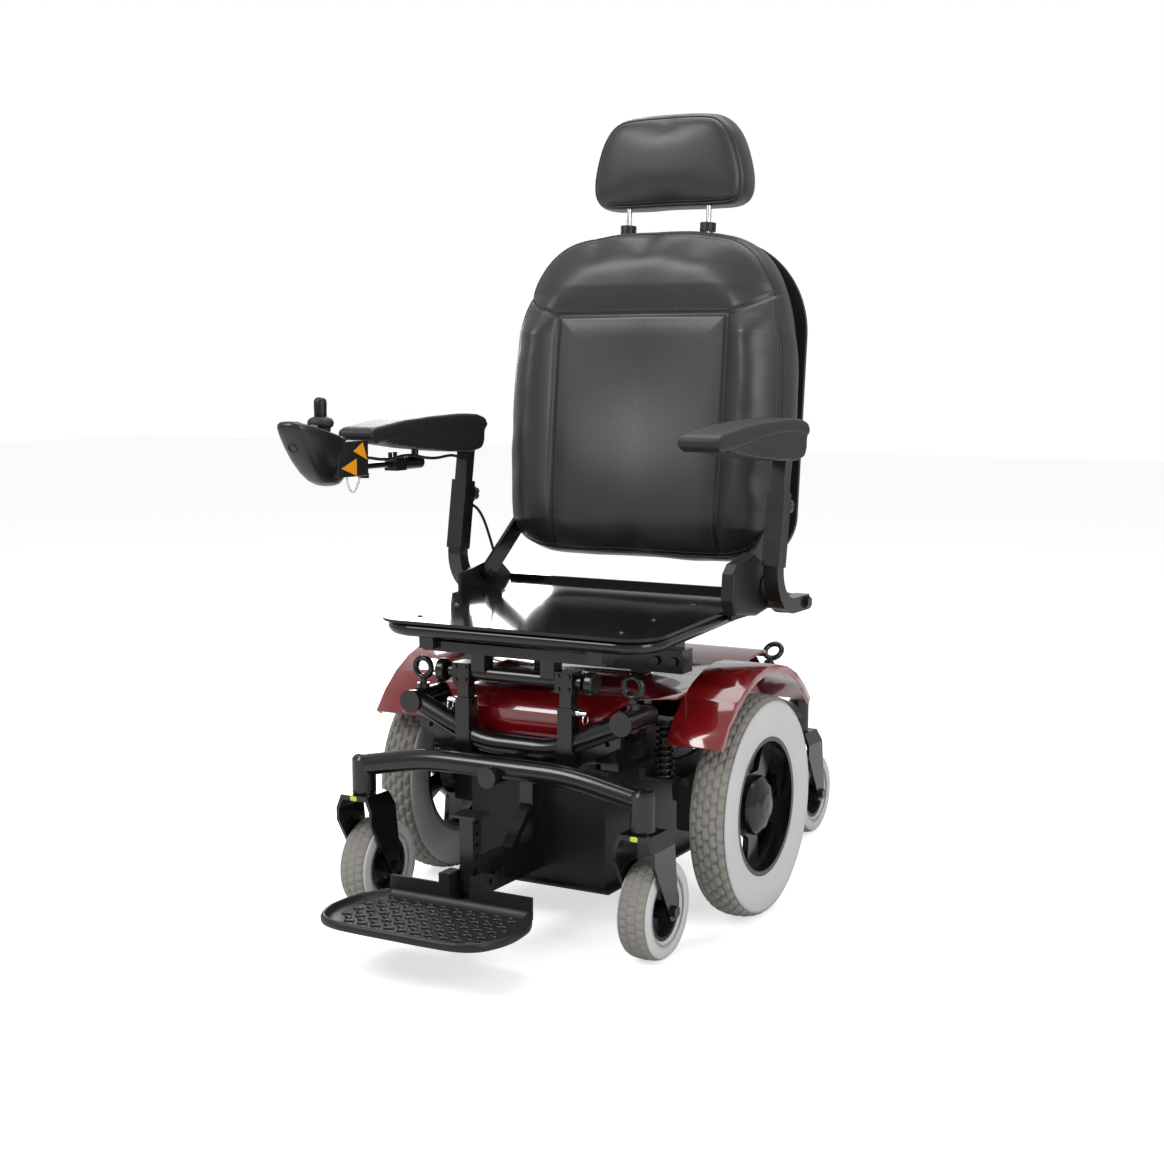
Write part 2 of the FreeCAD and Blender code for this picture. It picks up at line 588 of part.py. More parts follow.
def strut_spring():
    """Helical spring between the arm's seat and the rail's bracket, drawn as stacked turns."""
    turns = 9
    low, high = 244.3, 329.7
    pitch = (high - low - 6) / (turns - 1)
    rings = [Part.makeTorus(12.5, 2.8, V(STRUT_X, STRUT_Y, low + 3 + k * pitch)) for k in range(turns)]
    links = [rod((STRUT_X + 12.5 * math.cos(k), STRUT_Y + 12.5 * math.sin(k), low + 3 + k * pitch),
                 (STRUT_X + 12.5 * math.cos(k), STRUT_Y + 12.5 * math.sin(k), low + 3 + (k + 1) * pitch), 2)
             for k in range(turns - 1)]
    return fused(rings + links)


def freewheel_lever():
    """Brake release lever on top of the gearbox, hinged on a short post."""
    x, y, z = sum(GEARBOX_X) / 2 + 10, -20, DRIVE_R + 46
    hub = pipe((x, y, z + 0.4), (x, y, z + 12), 11, 5 + PIN_FIT)
    bar = block(x - 6, x + 6, y - 64, y - 9, z + 3, z + 9)
    grip = rod((x, y - 64, z + 6), (x, y - 92, z + 6), 7)
    return fused([hub, bar, grip])


def lever_post():
    x, y, z = sum(GEARBOX_X) / 2 + 10, -20, DRIVE_R + 46
    return fused([rod((x, y, z - 2), (x, y, z + 13), 5), rod((x, y, z + 12.5), (x, y, z + 15.5), 9)])


# ---- shroud -------------------------------------------------------------------------------
def arc_points(cy, cz, radius, start, end, steps=10):
    return [(cy + radius * math.cos(math.radians(start + (end - start) * k / steps)),
             cz + radius * math.sin(math.radians(start + (end - start) * k / steps))) for k in range(steps + 1)]


def shroud():
    """One moulding: sloping deck, rounded nose and a fender over each drive wheel."""
    deck = [(-216, 290), (-220, 340), (-196, 368), (0, 377), (100, 389), (180, 396), (262, 384), (318, 336)]
    inside = [(y + (SHROUD_T if y < -190 else 0), z - SHROUD_T) for y, z in deck]
    inside[0] = (deck[0][0] + SHROUD_T, deck[0][1])
    inside[-1] = (deck[-1][0] - SHROUD_T, deck[-1][1])
    body = prism(deck + inside[::-1], 2 * DECK_HALF, "YZ", -DECK_HALF)
    plan = [(-118, -230), (118, -230), (150, -206), (DECK_HALF + 1, -150), (DECK_HALF + 1, 190), (196, 262),
            (150, 330), (-150, 330), (-196, 262), (-DECK_HALF - 1, 190), (-DECK_HALF - 1, -150), (-150, -206)]
    body = body.common(prism(plan, 400, "XY", 200))
    smile = prism([(-150, 260), (-150, 320), (-95, 300), (0, 291), (95, 300), (150, 320), (150, 260)], 30, "XZ", -232)
    body = body.cut(smile)
    outer = arc_points(FENDER_Y, DRIVE_R, FENDER_R, 146, 40)
    inner = arc_points(FENDER_Y, DRIVE_R, FENDER_R - SHROUD_T, 40, 146)
    x0, x1 = FENDER_X
    arch = prism(outer + inner, x1 - x0, "YZ", x0)
    web_low = arc_points(FENDER_Y, DRIVE_R, FENDER_R - 44, 40, 140)
    web = prism(outer + web_low, SHROUD_T, "YZ", x0)
    lip = prism(outer + arc_points(FENDER_Y, DRIVE_R, FENDER_R - 12, 40, 146), SHROUD_T, "YZ", x1 - SHROUD_T)
    fender = fused([arch, web, lip])
    angle = math.radians(45)
    lens_y, lens_z = FENDER_Y + FENDER_R * math.cos(angle), DRIVE_R + FENDER_R * math.sin(angle)
    lens = turned(block(258, 290, lens_y - 11, lens_y + 11, lens_z - 1, lens_z + 8), V(0, lens_y, lens_z), X_AXIS, -45)
    whole = fused([body, fender, flipped(fender)])
    gap = 5
    holes = [block(s * POST_X - SLEEVE_W / 2 - gap, s * POST_X + SLEEVE_W / 2 + gap, CROSSBAR_Y - 20,
                   CROSSBAR_Y + 20, 340, 400) for s in (1, -1)]
    holes += [block(s * 195 - 22, s * 195 + 22, -260, -96, 318, 367.5) for s in (1, -1)]
    holes += [block(s * 186 - 16, s * 186 + 16, 276, 340, 300, 385) for s in (1, -1)]
    whole = whole.cut(Part.makeCompound(holes))
    lenses = both(lens.cut(fender))
    return [whole] + lenses


# ---- seat ---------------------------------------------------------------------------------
def seat_tilted(shape):
    return turned(shape, V(0, SEAT_REF_Y, SEAT_TOP_Z), X_AXIS, SEAT_TILT)


def seat_plate():
    plate = block(-SEAT_HALF, SEAT_HALF, SEAT_FRONT, SEAT_REAR, SEAT_TOP_Z - SEAT_T, SEAT_TOP_Z)
    plate = softened(plate, SEAT_CORNER, lambda e: lies_along(e, Z_AXIS) and e.BoundBox.YMin < 0)
    lip = block(-SEAT_HALF + 12, SEAT_HALF - 12, SEAT_REAR - 4, SEAT_REAR, SEAT_TOP_Z - 1, SEAT_TOP_Z + SEAT_LIP)
    bolts = [Part.makeSphere(7, V(s * SEAT_BOLT_X, y, SEAT_TOP_Z - 4.6)) for y in SEAT_BOLT_Y for s in (1, -1)]
    bolts += [rod((s * SEAT_BOLT_X, y, SEAT_TOP_Z - 14), (s * SEAT_BOLT_X, y, SEAT_TOP_Z - 4), 3)
              for y in SEAT_BOLT_Y for s in (1, -1)]
    return seat_tilted(fused([plate, lip] + bolts))


def seat_frame():
    """Bent tube under the plate's edge, slide rails over the posts' cross rod and rear brackets."""
    x = SEAT_HALF - SEAT_TUBE_IN
    z = SEAT_TOP_Z - SEAT_T - SEAT_TUBE_R
    front = SEAT_FRONT + SEAT_TUBE_IN
    reach = SEAT_REAR + 28
    points = [(-x, reach, z), (-x, front, z), (x, front, z), (x, reach, z)]
    tube = round_tube(points, SEAT_TUBE_R, SEAT_CORNER)
    rail_z = (z - 28, z + SEAT_TUBE_R)
    rails = [block(s * 150 - 13, s * 150 + 13, front - 4, SEAT_REAR - 6, *rail_z) for s in (1, -1)]
    ties = [block(-x, x, y - 12, y + 12, z + 1, z + SEAT_TUBE_R) for y in (SEAT_BOLT_Y[1], SEAT_BOLT_Y[2])]
    ties.append(block(-x, x, SEAT_REAR - 20, SEAT_REAR + 4, z - 8, z + SEAT_TUBE_R))
    whole = seat_tilted(fused([tube] + rails + ties))
    drills = [seat_tilted(rod((s * SEAT_BOLT_X, y, z - 10), (s * SEAT_BOLT_X, y, z + 20), 3.05))
              for y in SEAT_BOLT_Y for s in (1, -1)]
    saddles = [block(s * 62 - 12, s * 62 + 12, ROD_Y - 13, ROD_Y + 13, ROD_Z + 4, 436) for s in (1, -1)]
    bridge = block(-163, 163, ROD_Y - 13, ROD_Y + 13, 430, 446)
    grip = rod((-80, ROD_Y, ROD_Z), (80, ROD_Y, ROD_Z), ROD_R + PIN_FIT)
    rear = [block(s * 150 - 13, s * 150 + 13, CROSSBAR_Y - 16, CROSSBAR_Y + 16, CROSSBAR_Z + CROSSBAR_W / 2, 460)
            for s in (1, -1)]
    return fused([whole, bridge] + saddles + rear).cut(Part.makeCompound([grip] + drills))


def seat_posts():
    """Inner posts pinned in their sleeves, the cross rod in its clamps with an end knob each side,
    and the rear crossbar on its two posts."""
    half = SLEEVE_W / 2 - SLEEVE_WALL - SLIDE_FIT
    parts = []
    for s in (1, -1):
        post = block(s * POST_X - half, s * POST_X + half, ROD_Y - half, ROD_Y + half, SLEEVE_Z[0] + 6, POST_TOP_Z)
        pin = rod((s * (POST_X - 30), ROD_Y, PIN_Z), (s * (POST_X + 30), ROD_Y, PIN_Z), PIN_R + PIN_FIT)
        clamp = block(s * POST_X - CLAMP_W / 2, s * POST_X + CLAMP_W / 2, ROD_Y - 16, ROD_Y + 16,
                      ROD_Z - CLAMP_H / 2, ROD_Z + CLAMP_H / 2)
        bolts = [bolt_head((s * POST_X + dx, ROD_Y - 15.8, ROD_Z + dz), (0, -1, 0), 3.4, 3)
                 for dx in (-9, 9) for dz in (-10, 10)]
        end = ROD_HALF
        neck = rod((s * (end - 2), ROD_Y, ROD_Z), (s * (end + 12), ROD_Y, ROD_Z), 5)
        knob = rod((s * (end + 8), ROD_Y, ROD_Z), (s * (end + 8 + ROD_KNOB_T), ROD_Y, ROD_Z), ROD_KNOB_R)
        knob = softened(knob, 3)
        rear = block(s * POST_X - SLEEVE_W / 2, s * POST_X + SLEEVE_W / 2, CROSSBAR_Y - SLEEVE_W / 2,
                     CROSSBAR_Y + SLEEVE_W / 2, RAIL_Z + RAIL_H / 2, CROSSBAR_Z - CROSSBAR_W / 2 + 1)
        parts += [fused([post.cut(pin), clamp] + bolts), fused([neck, knob]), rear]
    bar = rod((-ROD_HALF, ROD_Y, ROD_Z), (ROD_HALF, ROD_Y, ROD_Z), ROD_R)
    lower = CROSSBAR_Z - CROSSBAR_W / 2
    crossbar = block(-CROSSBAR_HALF, CROSSBAR_HALF, CROSSBAR_Y - CROSSBAR_W / 2, CROSSBAR_Y + CROSSBAR_W / 2,
                     lower, lower + CROSSBAR_W)
    heads = [bolt_head((s * x, CROSSBAR_Y - CROSSBAR_W / 2 + 0.2, CROSSBAR_Z), (0, -1, 0), 8, 6)
             for x in (128, 160) for s in (1, -1)]
    front = fused([bar] + [p for i, p in enumerate(parts) if i % 3 != 2])
    back = fused([crossbar] + heads + [p for i, p in enumerate(parts) if i % 3 == 2])
    return [front, back]


def release_pin():
    """Spring plunger with its collar and pull ring; pulled outward it clears the post's wall."""
    inner = POST_X + SLEEVE_W / 2 - SLEEVE_WALL - PIN_DEPTH
    outer = POST_X + SLEEVE_W / 2 + PIN_OUT
    shank = rod((inner, ROD_Y, PIN_Z), (outer, ROD_Y, PIN_Z), PIN_R)
    collar = rod((POST_X + SLEEVE_W / 2 + RUN_GAP, ROD_Y, PIN_Z), (POST_X + SLEEVE_W / 2 + 8, ROD_Y, PIN_Z), 6)
    ring = Part.makeTorus(8, 1.2, V(outer - 3, ROD_Y, PIN_Z - 8), X_AXIS)
    return fused([shank, collar, ring])


def recline_covers():
    """Hinge plate and pin on each side; the recliner's moulded cover is on the user's left."""
    outline = [(-44, 486), (-56, 510), (-52, 552), (-36, 566), (4, 572), (28, 578), (58, 566), (88, 540), (96, 506),
               (84, 482), (40, 476)]
    cover = prism(outline, 22, "YZ", 254)
    cover = softened(cover, 6, lambda e: e.BoundBox.XMin > 275 and e.Length > 12)
    hub = rod((RECEIVER_HALF - 2, 68, 522), (RECEIVER_HALF + 2, 68, 522), 20)
    plate = prism([(-20, 474), (-20, 520), (96, 540), (150, 500), (150, 480), (96, 474)], 6, "YZ", SEAT_HALF + 0.5)
    pin = rod((236, HINGE_Y, HINGE_Z), (256, HINGE_Y, HINGE_Z), 7)
    cap = rod((255, HINGE_Y, HINGE_Z), (262, HINGE_Y, HINGE_Z), 12)
    return [fused([cover, plate, hub, pin]), flipped(fused([plate, pin, cap]))]


def arm_receiver():
    """Square bar across the seat's rear that carries both armrest pivots."""
    half = ARM_TUBE / 2
    bar = block(-RECEIVER_HALF, RECEIVER_HALF, ARM_PIVOT_Y - half, ARM_PIVOT_Y + half, ARM_PIVOT_Z - half,
                ARM_PIVOT_Z + half)
    hub = rod((RECEIVER_HALF - 1, ARM_PIVOT_Y, ARM_PIVOT_Z), (ARM_X - ARM_TUBE / 2 - RUN_GAP, ARM_PIVOT_Y,
              ARM_PIVOT_Z), 13)
    pin = rod((RECEIVER_HALF, ARM_PIVOT_Y, ARM_PIVOT_Z), (ARM_X + ARM_TUBE / 2 + 4, ARM_PIVOT_Y, ARM_PIVOT_Z),
              ARM_PIN_R)
    head = bolt_head((ARM_X + ARM_TUBE / 2 + RUN_GAP, ARM_PIVOT_Y, ARM_PIVOT_Z), (1, 0, 0), 10, 6)
    half_set = [hub, pin, head]
    return fused([bar] + half_set + [flipped(s) for s in half_set])


# ---- backrest -----------------------------------------------------------------------------
def leaned(shape):
    return turned(shape, V(0, BACK_FRONT_Y, BACK_BOTTOM), X_AXIS, -BACK_LEAN)


def back_outline(y, depth, inset=0.0):
    half, low, top = BACK_HALF - inset, BACK_BOTTOM + inset, BACK_TOP - inset
    form = block(-half, half, y, y + depth, low, top)
    form = form.makeFillet(BACK_TOP_CORNER - inset, [e for e in form.Edges if lies_along(e, Y_AXIS)
                                                     and e.BoundBox.ZMin > low + 50])
    return form.makeFillet(BACK_LOW_CORNER - inset, [e for e in form.Edges if lies_along(e, Y_AXIS)
                                                     and e.BoundBox.ZMax < low + 50])


def head_post_way():
    """Foot and top of a headrest post; the posts lean with the back."""
    lean = math.radians(BACK_LEAN)
    top_z = HEAD_Z[0] + 50
    foot_z = BACK_TOP - HEAD_POST_DEEP
    run = (top_z - foot_z) * math.tan(lean)
    return (HEAD_POST_Y - run, foot_z), (HEAD_POST_Y, top_z)


def backrest():
    (foot_y, foot_z), (top_y, top_z) = head_post_way()
    sockets = [rod((s * HEAD_POST_X, foot_y, foot_z), (s * HEAD_POST_X, top_y, top_z), HEAD_POST_R + PIN_FIT)
               for s in (1, -1)]
    cushion = leaned(back_outline(BACK_FRONT_Y, BACK_DEPTH)).cut(Part.makeCompound(sockets))
    shell = leaned(softened(back_outline(BACK_FRONT_Y + BACK_DEPTH, SHELL_T, 4), 10,
                            lambda e: e.BoundBox.YMin > BACK_FRONT_Y + BACK_DEPTH + SHELL_T - 1))
    shell = shell.cut(Part.makeCompound(sockets))
    way = V(0, top_y - foot_y, top_z - foot_z).normalize()
    guides = []
    for s in (1, -1):
        seat_z = BACK_TOP - 7
        seat = V(s * HEAD_POST_X, foot_y + (seat_z - foot_z) * way.y / way.z, seat_z)
        collar = Part.makeCylinder(GUIDE_R, GUIDE_H, seat, way)
        guides.append(collar.cut(sockets[0 if s > 0 else 1]).cut(cushion).cut(shell))
    return cushion, shell, guides


def back_brackets():
    """Steel arms from the recliner hinges to the back's lower sides."""
    strap = prism([(HINGE_Y - 14, HINGE_Z), (HINGE_Y - 10, HINGE_Z + 20), (150, 612), (176, 690), (198, 690),
                   (190, 600), (HINGE_Y + 16, HINGE_Z - 4), (HINGE_Y + 4, HINGE_Z - 14),
                   (HINGE_Y - 10, HINGE_Z - 11)], 6, "YZ", 237)
    bore = rod((230, HINGE_Y, HINGE_Z), (250, HINGE_Y, HINGE_Z), 7 + PIN_FIT)
    return strap.cut(bore)


def headrest():
    z0, z1 = HEAD_Z
    y0, y1 = HEAD_Y
    outline = [(-HEAD_HALF, z0 + 8), (-HEAD_HALF + 4, z0 + 62), (-104, z1 - 8), (-84, z1), (84, z1), (104, z1 - 8),
               (HEAD_HALF - 4, z0 + 62), (HEAD_HALF, z0 + 8), (HEAD_HALF - 12, z0), (-HEAD_HALF + 12, z0)]
    pad = prism(outline, y1 - y0, "XZ", y0)
    (foot_y, foot_z), (top_y, top_z) = head_post_way()
    way = V(0, top_y - foot_y, top_z - foot_z).normalize()
    posts, bores = [], []
    for s in (1, -1):
        foot = V(s * HEAD_POST_X, foot_y, foot_z) + way * 3
        length = top_z - foot_z - 6
        posts.append(Part.makeCylinder(HEAD_POST_R, length, foot, way))
        bores.append(Part.makeCylinder(HEAD_POST_R, length + 1, foot, way))
    return pad.cut(Part.makeCompound(bores)), posts


# ---- armrests -----------------------------------------------------------------------------
def arm_centre(z):
    return ARM_FOOT_Y + (z - ARM_PIVOT_Z) * math.tan(math.radians(ARM_LEAN))


def leaning_bar(z0, z1, width, x=ARM_X):
    """Square bar on the armrest post's leaning centreline."""
    half = width / 2
    start = V(x, arm_centre(z0), z0)
    length = (z1 - z0) / math.cos(math.radians(ARM_LEAN))
    bar = Part.makeBox(width, width, length, V(x - half, start.y - half, z0))
    bar.rotate(start, X_AXIS, -ARM_LEAN)
    return bar


def arm_tube():
    """J-shaped tube that flips up about its rear end, with the post's sleeve welded on."""
    lean = math.radians(ARM_LEAN)
    half = ARM_TUBE / 2
    top = ARM_SLEEVE_Z[0] + 6
    points = [(ARM_X, ARM_PIVOT_Y + half, ARM_PIVOT_Z), (ARM_X, ARM_FOOT_Y, ARM_PIVOT_Z),
              (ARM_X, arm_centre(top), top)]
    path = bent_path(points, ARM_BEND)
    corners = [V(ARM_X - half, points[0][1], ARM_PIVOT_Z - half), V(ARM_X + half, points[0][1], ARM_PIVOT_Z - half),
               V(ARM_X + half, points[0][1], ARM_PIVOT_Z + half), V(ARM_X - half, points[0][1], ARM_PIVOT_Z + half)]
    tube = along_path(path, Part.makePolygon(corners + corners[:1]))
    bore = rod((ARM_X - 30, ARM_PIVOT_Y, ARM_PIVOT_Z), (ARM_X + 30, ARM_PIVOT_Y, ARM_PIVOT_Z), ARM_PIN_R + PIN_FIT)
    sleeve = leaning_bar(*ARM_SLEEVE_Z, ARM_SLEEVE)
    hollow = leaning_bar(top + 4, ARM_SLEEVE_Z[1] + 2, ARM_POST + 2 * SLIDE_FIT)
    z = ARM_SLEEVE_Z[1] - 22
    nut_y = arm_centre(z) + ARM_SLEEVE / 2
    way = (0, math.cos(lean), -math.sin(lean))
    nut = Part.makeCylinder(9, 7, V(ARM_X, nut_y - 1, z), V(*way))
    screw = Part.makeCylinder(3 + PIN_FIT, 40, V(ARM_X, nut_y, z) - V(*way) * 7, V(*way))
    return fused([tube, sleeve, nut]).cut(hollow).cut(bore).cut(screw)


def arm_knob():
    """Clamp knob behind the sleeve; its screw presses on the post."""
    lean = math.radians(ARM_LEAN)
    z = ARM_SLEEVE_Z[1] - 22
    nut_y = arm_centre(z) + ARM_SLEEVE / 2
    way = V(0, math.cos(lean), -math.sin(lean))
    base = V(ARM_X, nut_y, z) + way * 6.6
    grip = Part.makeCylinder(ARM_KNOB_R, ARM_KNOB_T, base, way)
    grooves = []
    for k in range(6):
        angle = math.radians(60 * k)
        side = V(math.cos(angle), 0, 0) + V(0, math.sin(lean), math.cos(lean)) * math.sin(angle)
        grooves.append(Part.makeCylinder(3.5, ARM_KNOB_T + 2, base - way + side * (ARM_KNOB_R + 1.5), way))
    screw = Part.makeCylinder(3, 10, V(ARM_X, nut_y, z) - way * 2.8, way)
    return fused([grip.cut(Part.makeCompound(grooves)), screw])


def arm_post():
    post = leaning_bar(ARM_SLEEVE_Z[0] + 30, ARM_POST_TOP_Z - 4, ARM_POST)
    head = bolt_head((ARM_X, arm_centre(712) + ARM_POST / 2 - 0.3, 712), (0, 1, -0.17), 6.5, 6)
    return fused([post, head])


def pad_shapes():
    """Soft top and the hard fin-shaped base under it."""
    crescent = [(-206, 752), (-150, 758), (-90, 766), (-20, 771), (40, 771), (96, 764)]
    top = crescent[::-1] + [(-232, 749), (-247, 758), (-247, 770), (-236, 776), (-150, 786), (-60, 791), (20, 793),
                            (70, 791), (96, 784), (104, 772)]
    base = crescent + [(96, 742), (88, 730), (60, 725), (0, 727), (-100, 736), (-180, 746)]
    soft = softened(prism(top, 2 * PAD_HALF, "YZ", PAD_X - PAD_HALF), 5,
                    lambda e: lies_along(e, X_AXIS) is False and e.BoundBox.ZMin > 771.5 and e.Length > 5)
    hard = prism(base, 2 * PAD_HALF - 6, "YZ", PAD_X - PAD_HALF + 3)
    socket = leaning_bar(700, ARM_POST_TOP_Z - 4, ARM_POST)
    return soft, hard.cut(socket)


# ---- joystick -----------------------------------------------------------------------------
def pod_top(y):
    return 757 + (-290 - y) * math.tan(math.radians(POD_SLOPE))


def pod_up():
    angle = math.radians(POD_SLOPE)
    return V(0, math.sin(angle), math.cos(angle))


BUTTONS = {"power_button": (-19, -374), "horn_button": (19, -374)}
ROCKER = (0, -399)
BUTTON_R = 6.0
BUTTON_RISE = 2.5


def joystick_pod():
    nose, rear = -420, -290
    side = [(rear, pod_top(rear)), (nose + 8, pod_top(nose + 8)), (nose, pod_top(nose) - 8), (nose + 6, 769),
            (-380, 729), (-346, 696), (-318, 686), (-290, 690), (-272, 702), (-270, 730)]
    pod = prism(side, 2 * POD_HALF, "YZ", STICK_X - POD_HALF)
    pod = softened(pod, POD_ROUND, lambda e: not lies_along(e, X_AXIS))
    case = block(STICK_X - POD_HALF + 8, STICK_X + POD_HALF - 2, -292, SWING_Y, 700, 747)
    pivot = rod((SWING_X, SWING_Y, 706), (SWING_X, SWING_Y, 716), 7)
    ear = block(SWING_X, STICK_X - POD_HALF + 10, SWING_Y - 7, SWING_Y, 706, 716)
    well = Part.makeCylinder(18.5, 26, V(STICK_X, STICK_Y, pod_top(STICK_Y)) - pod_up() * 22, pod_up())
    socket = rod((STICK_X, -404, 743), (STICK_X, -382, 761), 8)
    cuts = [well, socket]
    for x, y in list(BUTTONS.values()):
        cuts.append(Part.makeCylinder(BUTTON_R + RUN_GAP, 8, V(STICK_X + x, y, pod_top(y)) - pod_up() * 5, pod_up()))
    x, y = ROCKER
    cuts.append(turned(block(STICK_X - 12.5, STICK_X + 12.5, y - 6.5, y + 6.5, pod_top(y) - 6, pod_top(y) + 3),
                       V(0, y, pod_top(y)), X_AXIS, -POD_SLOPE))
    bore = rod((SWING_X, SWING_Y, 700), (SWING_X, SWING_Y, 720), 3.5 + PIN_FIT)
    body = fused([pod, case, pivot, ear]).cut(Part.makeCompound(cuts)).cut(bore)
    pin_y = pod_top(STICK_Y)
    trunnions = [rod((STICK_X + s * 11.2, STICK_Y, pin_y - 10), (STICK_X + s * 18, STICK_Y, pin_y - 10), 2)
                 for s in (1, -1)]
    tris = []
    face = STICK_X + POD_HALF - 2
    tris.append(prism([(-264, 728), (-253, 744), (-253, 724)], 1.2, "YZ", face))
    tris.append(prism([(-268, 714), (-253, 704), (-253, 721)], 1.2, "YZ", face))
    return fused([body] + trunnions), tris


def joystick_gimbal():
    """Small cross that lets the stick lean both ways inside the pod's well."""
    z = pod_top(STICK_Y) - 10
    ring = block(STICK_X - 11, STICK_X + 11, STICK_Y - 7, STICK_Y + 7, z - 4, z + 4)
    slot = block(STICK_X - 7.4, STICK_X + 7.4, STICK_Y - 3.8, STICK_Y + 3.8, z - 5, z + 5)
    bore = rod((STICK_X - 12, STICK_Y, z), (STICK_X + 12, STICK_Y, z), 2 + PIN_FIT)
    cross_bore = rod((STICK_X, STICK_Y - 8, z), (STICK_X, STICK_Y + 8, z), 2 + PIN_FIT)
    return ring.cut(slot).cut(bore).cut(cross_bore)


def joystick_stick():
    z = pod_top(STICK_Y) - 10
    cross = rod((STICK_X, STICK_Y - 6.8, z), (STICK_X, STICK_Y + 6.8, z), 2)
    stem = rod((STICK_X, STICK_Y, z), (STICK_X, STICK_Y, z + 20), 3)
    gaiter = lathe_z([(0, z + 13), (9, z + 13), (13, z + 17), (20, z + 24), (20.5, z + 29), (16, z + 36), (9, z + 38),
                      (9, z + 58), (8.2, z + 62), (5.5, z + 65.5), (0, z + 67)], STICK_X, STICK_Y)
    return fused([cross, stem, gaiter])


def pod_button(name):
    x, y = BUTTONS[name]
    return Part.makeCylinder(BUTTON_R, 4 + BUTTON_RISE, V(STICK_X + x, y, pod_top(y)) - pod_up() * 3, pod_up())


def pod_rocker():
    x, y = ROCKER
    key = block(STICK_X - 12, STICK_X + 12, y - 6, y + 6, pod_top(y) - 1.5, pod_top(y) + 2)
    foot = rod((STICK_X, y - 5, pod_top(y) - 3), (STICK_X, y + 5, pod_top(y) - 3), 1.8)
    return turned(fused([key, foot]), V(0, y, pod_top(y)), X_AXIS, -POD_SLOPE)


def joystick_rod():
    """Sliding rod with the swing bracket at its front end and a clamp screw."""
    x = -318
    front = SWING_Y + 16
    bar = rod((x, front, 711), (x, -34, 711), 5)
    head = block(SWING_X - 9, x + 8, SWING_Y + 9, SWING_Y + 20, 700, 722)
    forks = [block(SWING_X - 8, SWING_X + 5, SWING_Y - 5.5, SWING_Y + 12, z, z + 4) for z in (701.4, 716.4)]
    pin = rod((SWING_X, SWING_Y, 701.5), (SWING_X, SWING_Y, 720), 3.5)
    wing = fused([rod((x, -204, 700), (x, -204, 716), 4), block(x - 9, x + 9, -207, -201, 692, 701)])
    return fused([bar, head, pin, wing] + forks)


def joystick_bracket():
    """Clamp block and round stub under the armrest that guide the rod."""
    x = -318
    clamp = block(x - 12, x + 12, -128, -98, 700, 722)
    stub = rod((x + 2, -99, 711), (x + 2, -46, 711), 11)
    bore = rod((x, -140, 711), (x, -30, 711), 5 + PIN_FIT)
    screws = [rod((x - 6, y, 721), (x - 6, y, 731), 3.5) for y in (-120, -106)]
    stand = rod((x + 4, -62, 719), (x + 4, -62, 736), 6)
    return fused([clamp, stub, stand] + screws).cut(bore)


# ---- free cords ---------------------------------------------------------------------------
ROD_CABLE = [(-292, -250.6, 728), (-292, -224, 727), (-293, -190, 722), (-294, -156, 722), (-296, -122, 726),
             (-296, -90, 725), (-293, -62, 719), (-291, -30, 717), (-291, 0, 720), (-292, 28, 720), (-294, 55, 712)]
ARM_CABLE = [(-288, 74, 631), (-286.4, 84, 627), (-283.6, 94, 617), (-281.4, 104, 602), (-280.4, 114, 583),
             (-280, 124, 563), (-280, 134, 543), (-280.3, 145, 524), (-281, 158, 502)]
CHAIN = [(-305, -266, 699.6), (-305.6, -265, 690), (-306.8, -260, 681), (-308.4, -252, 674), (-310.6, -243, 671.5),
         (-313, -234, 673), (-315.4, -226, 679), (-317, -219, 686), (-318, -213, 694)]


def cord(points, radius):
    return round_tube(points, radius)


# ---- footrest -----------------------------------------------------------------------------
def footrest_column():
    """Upright and arm bolted to the battery box, and the column that hangs the footplate."""
    half = COLUMN_W / 2
    low, high = FOOT_ARM_Z
    rear = COLUMN_FRONT + COLUMN_W
    upright = block(-half, half, BOX_FRONT - BOX_FLANGE - 20, BOX_FRONT, low, BEAM_PIVOT_Z - 20)
    upright = upright.cut(block(-half - 1, half + 1, BOX_FRONT - BOX_FLANGE, BOX_FRONT + 1, 50, 84))
    arm = block(-half, half, rear, BOX_FRONT - BOX_FLANGE - 10, low, high)
    brace = prism([(BOX_FRONT - BOX_FLANGE - 18, 196), (BOX_FRONT - BOX_FLANGE - 18, 178), (-272, high - 4),
                   (-288, high - 4)], COLUMN_W - 4, "YZ", -half + 2)
    column = block(-half, half, COLUMN_FRONT, rear, *COLUMN_Z)
    holes = [rod((-half - 1, COLUMN_FRONT + half, z), (half + 1, COLUMN_FRONT + half, z), 3.5)
             for z in (150, 167, 184, 201)]
    cap = block(-COLUMN_CAP / 2, COLUMN_CAP / 2, COLUMN_FRONT + half - COLUMN_CAP / 2,
                COLUMN_FRONT + half + COLUMN_CAP / 2, COLUMN_Z[1], COLUMN_Z[1] + 4)
    heads = [bolt_head((s * (half - 0.2), COLUMN_FRONT + half, z), (s, 0, 0), 7, 5) for z in (128,) for s in (1, -1)]
    heads += [bolt_head((half - 0.2, y, 112), (1, 0, 0), 8, 5) for y in (-338, -322)]
    pin = rod((-FOOT_BLOCK_X[1] - 4, FOOT_HINGE_Y, FOOT_HINGE_Z), (FOOT_BLOCK_X[1] + 4, FOOT_HINGE_Y, FOOT_HINGE_Z),
              5)
    return fused([upright, arm, brace, column.cut(Part.makeCompound(holes)), cap, pin] + heads)


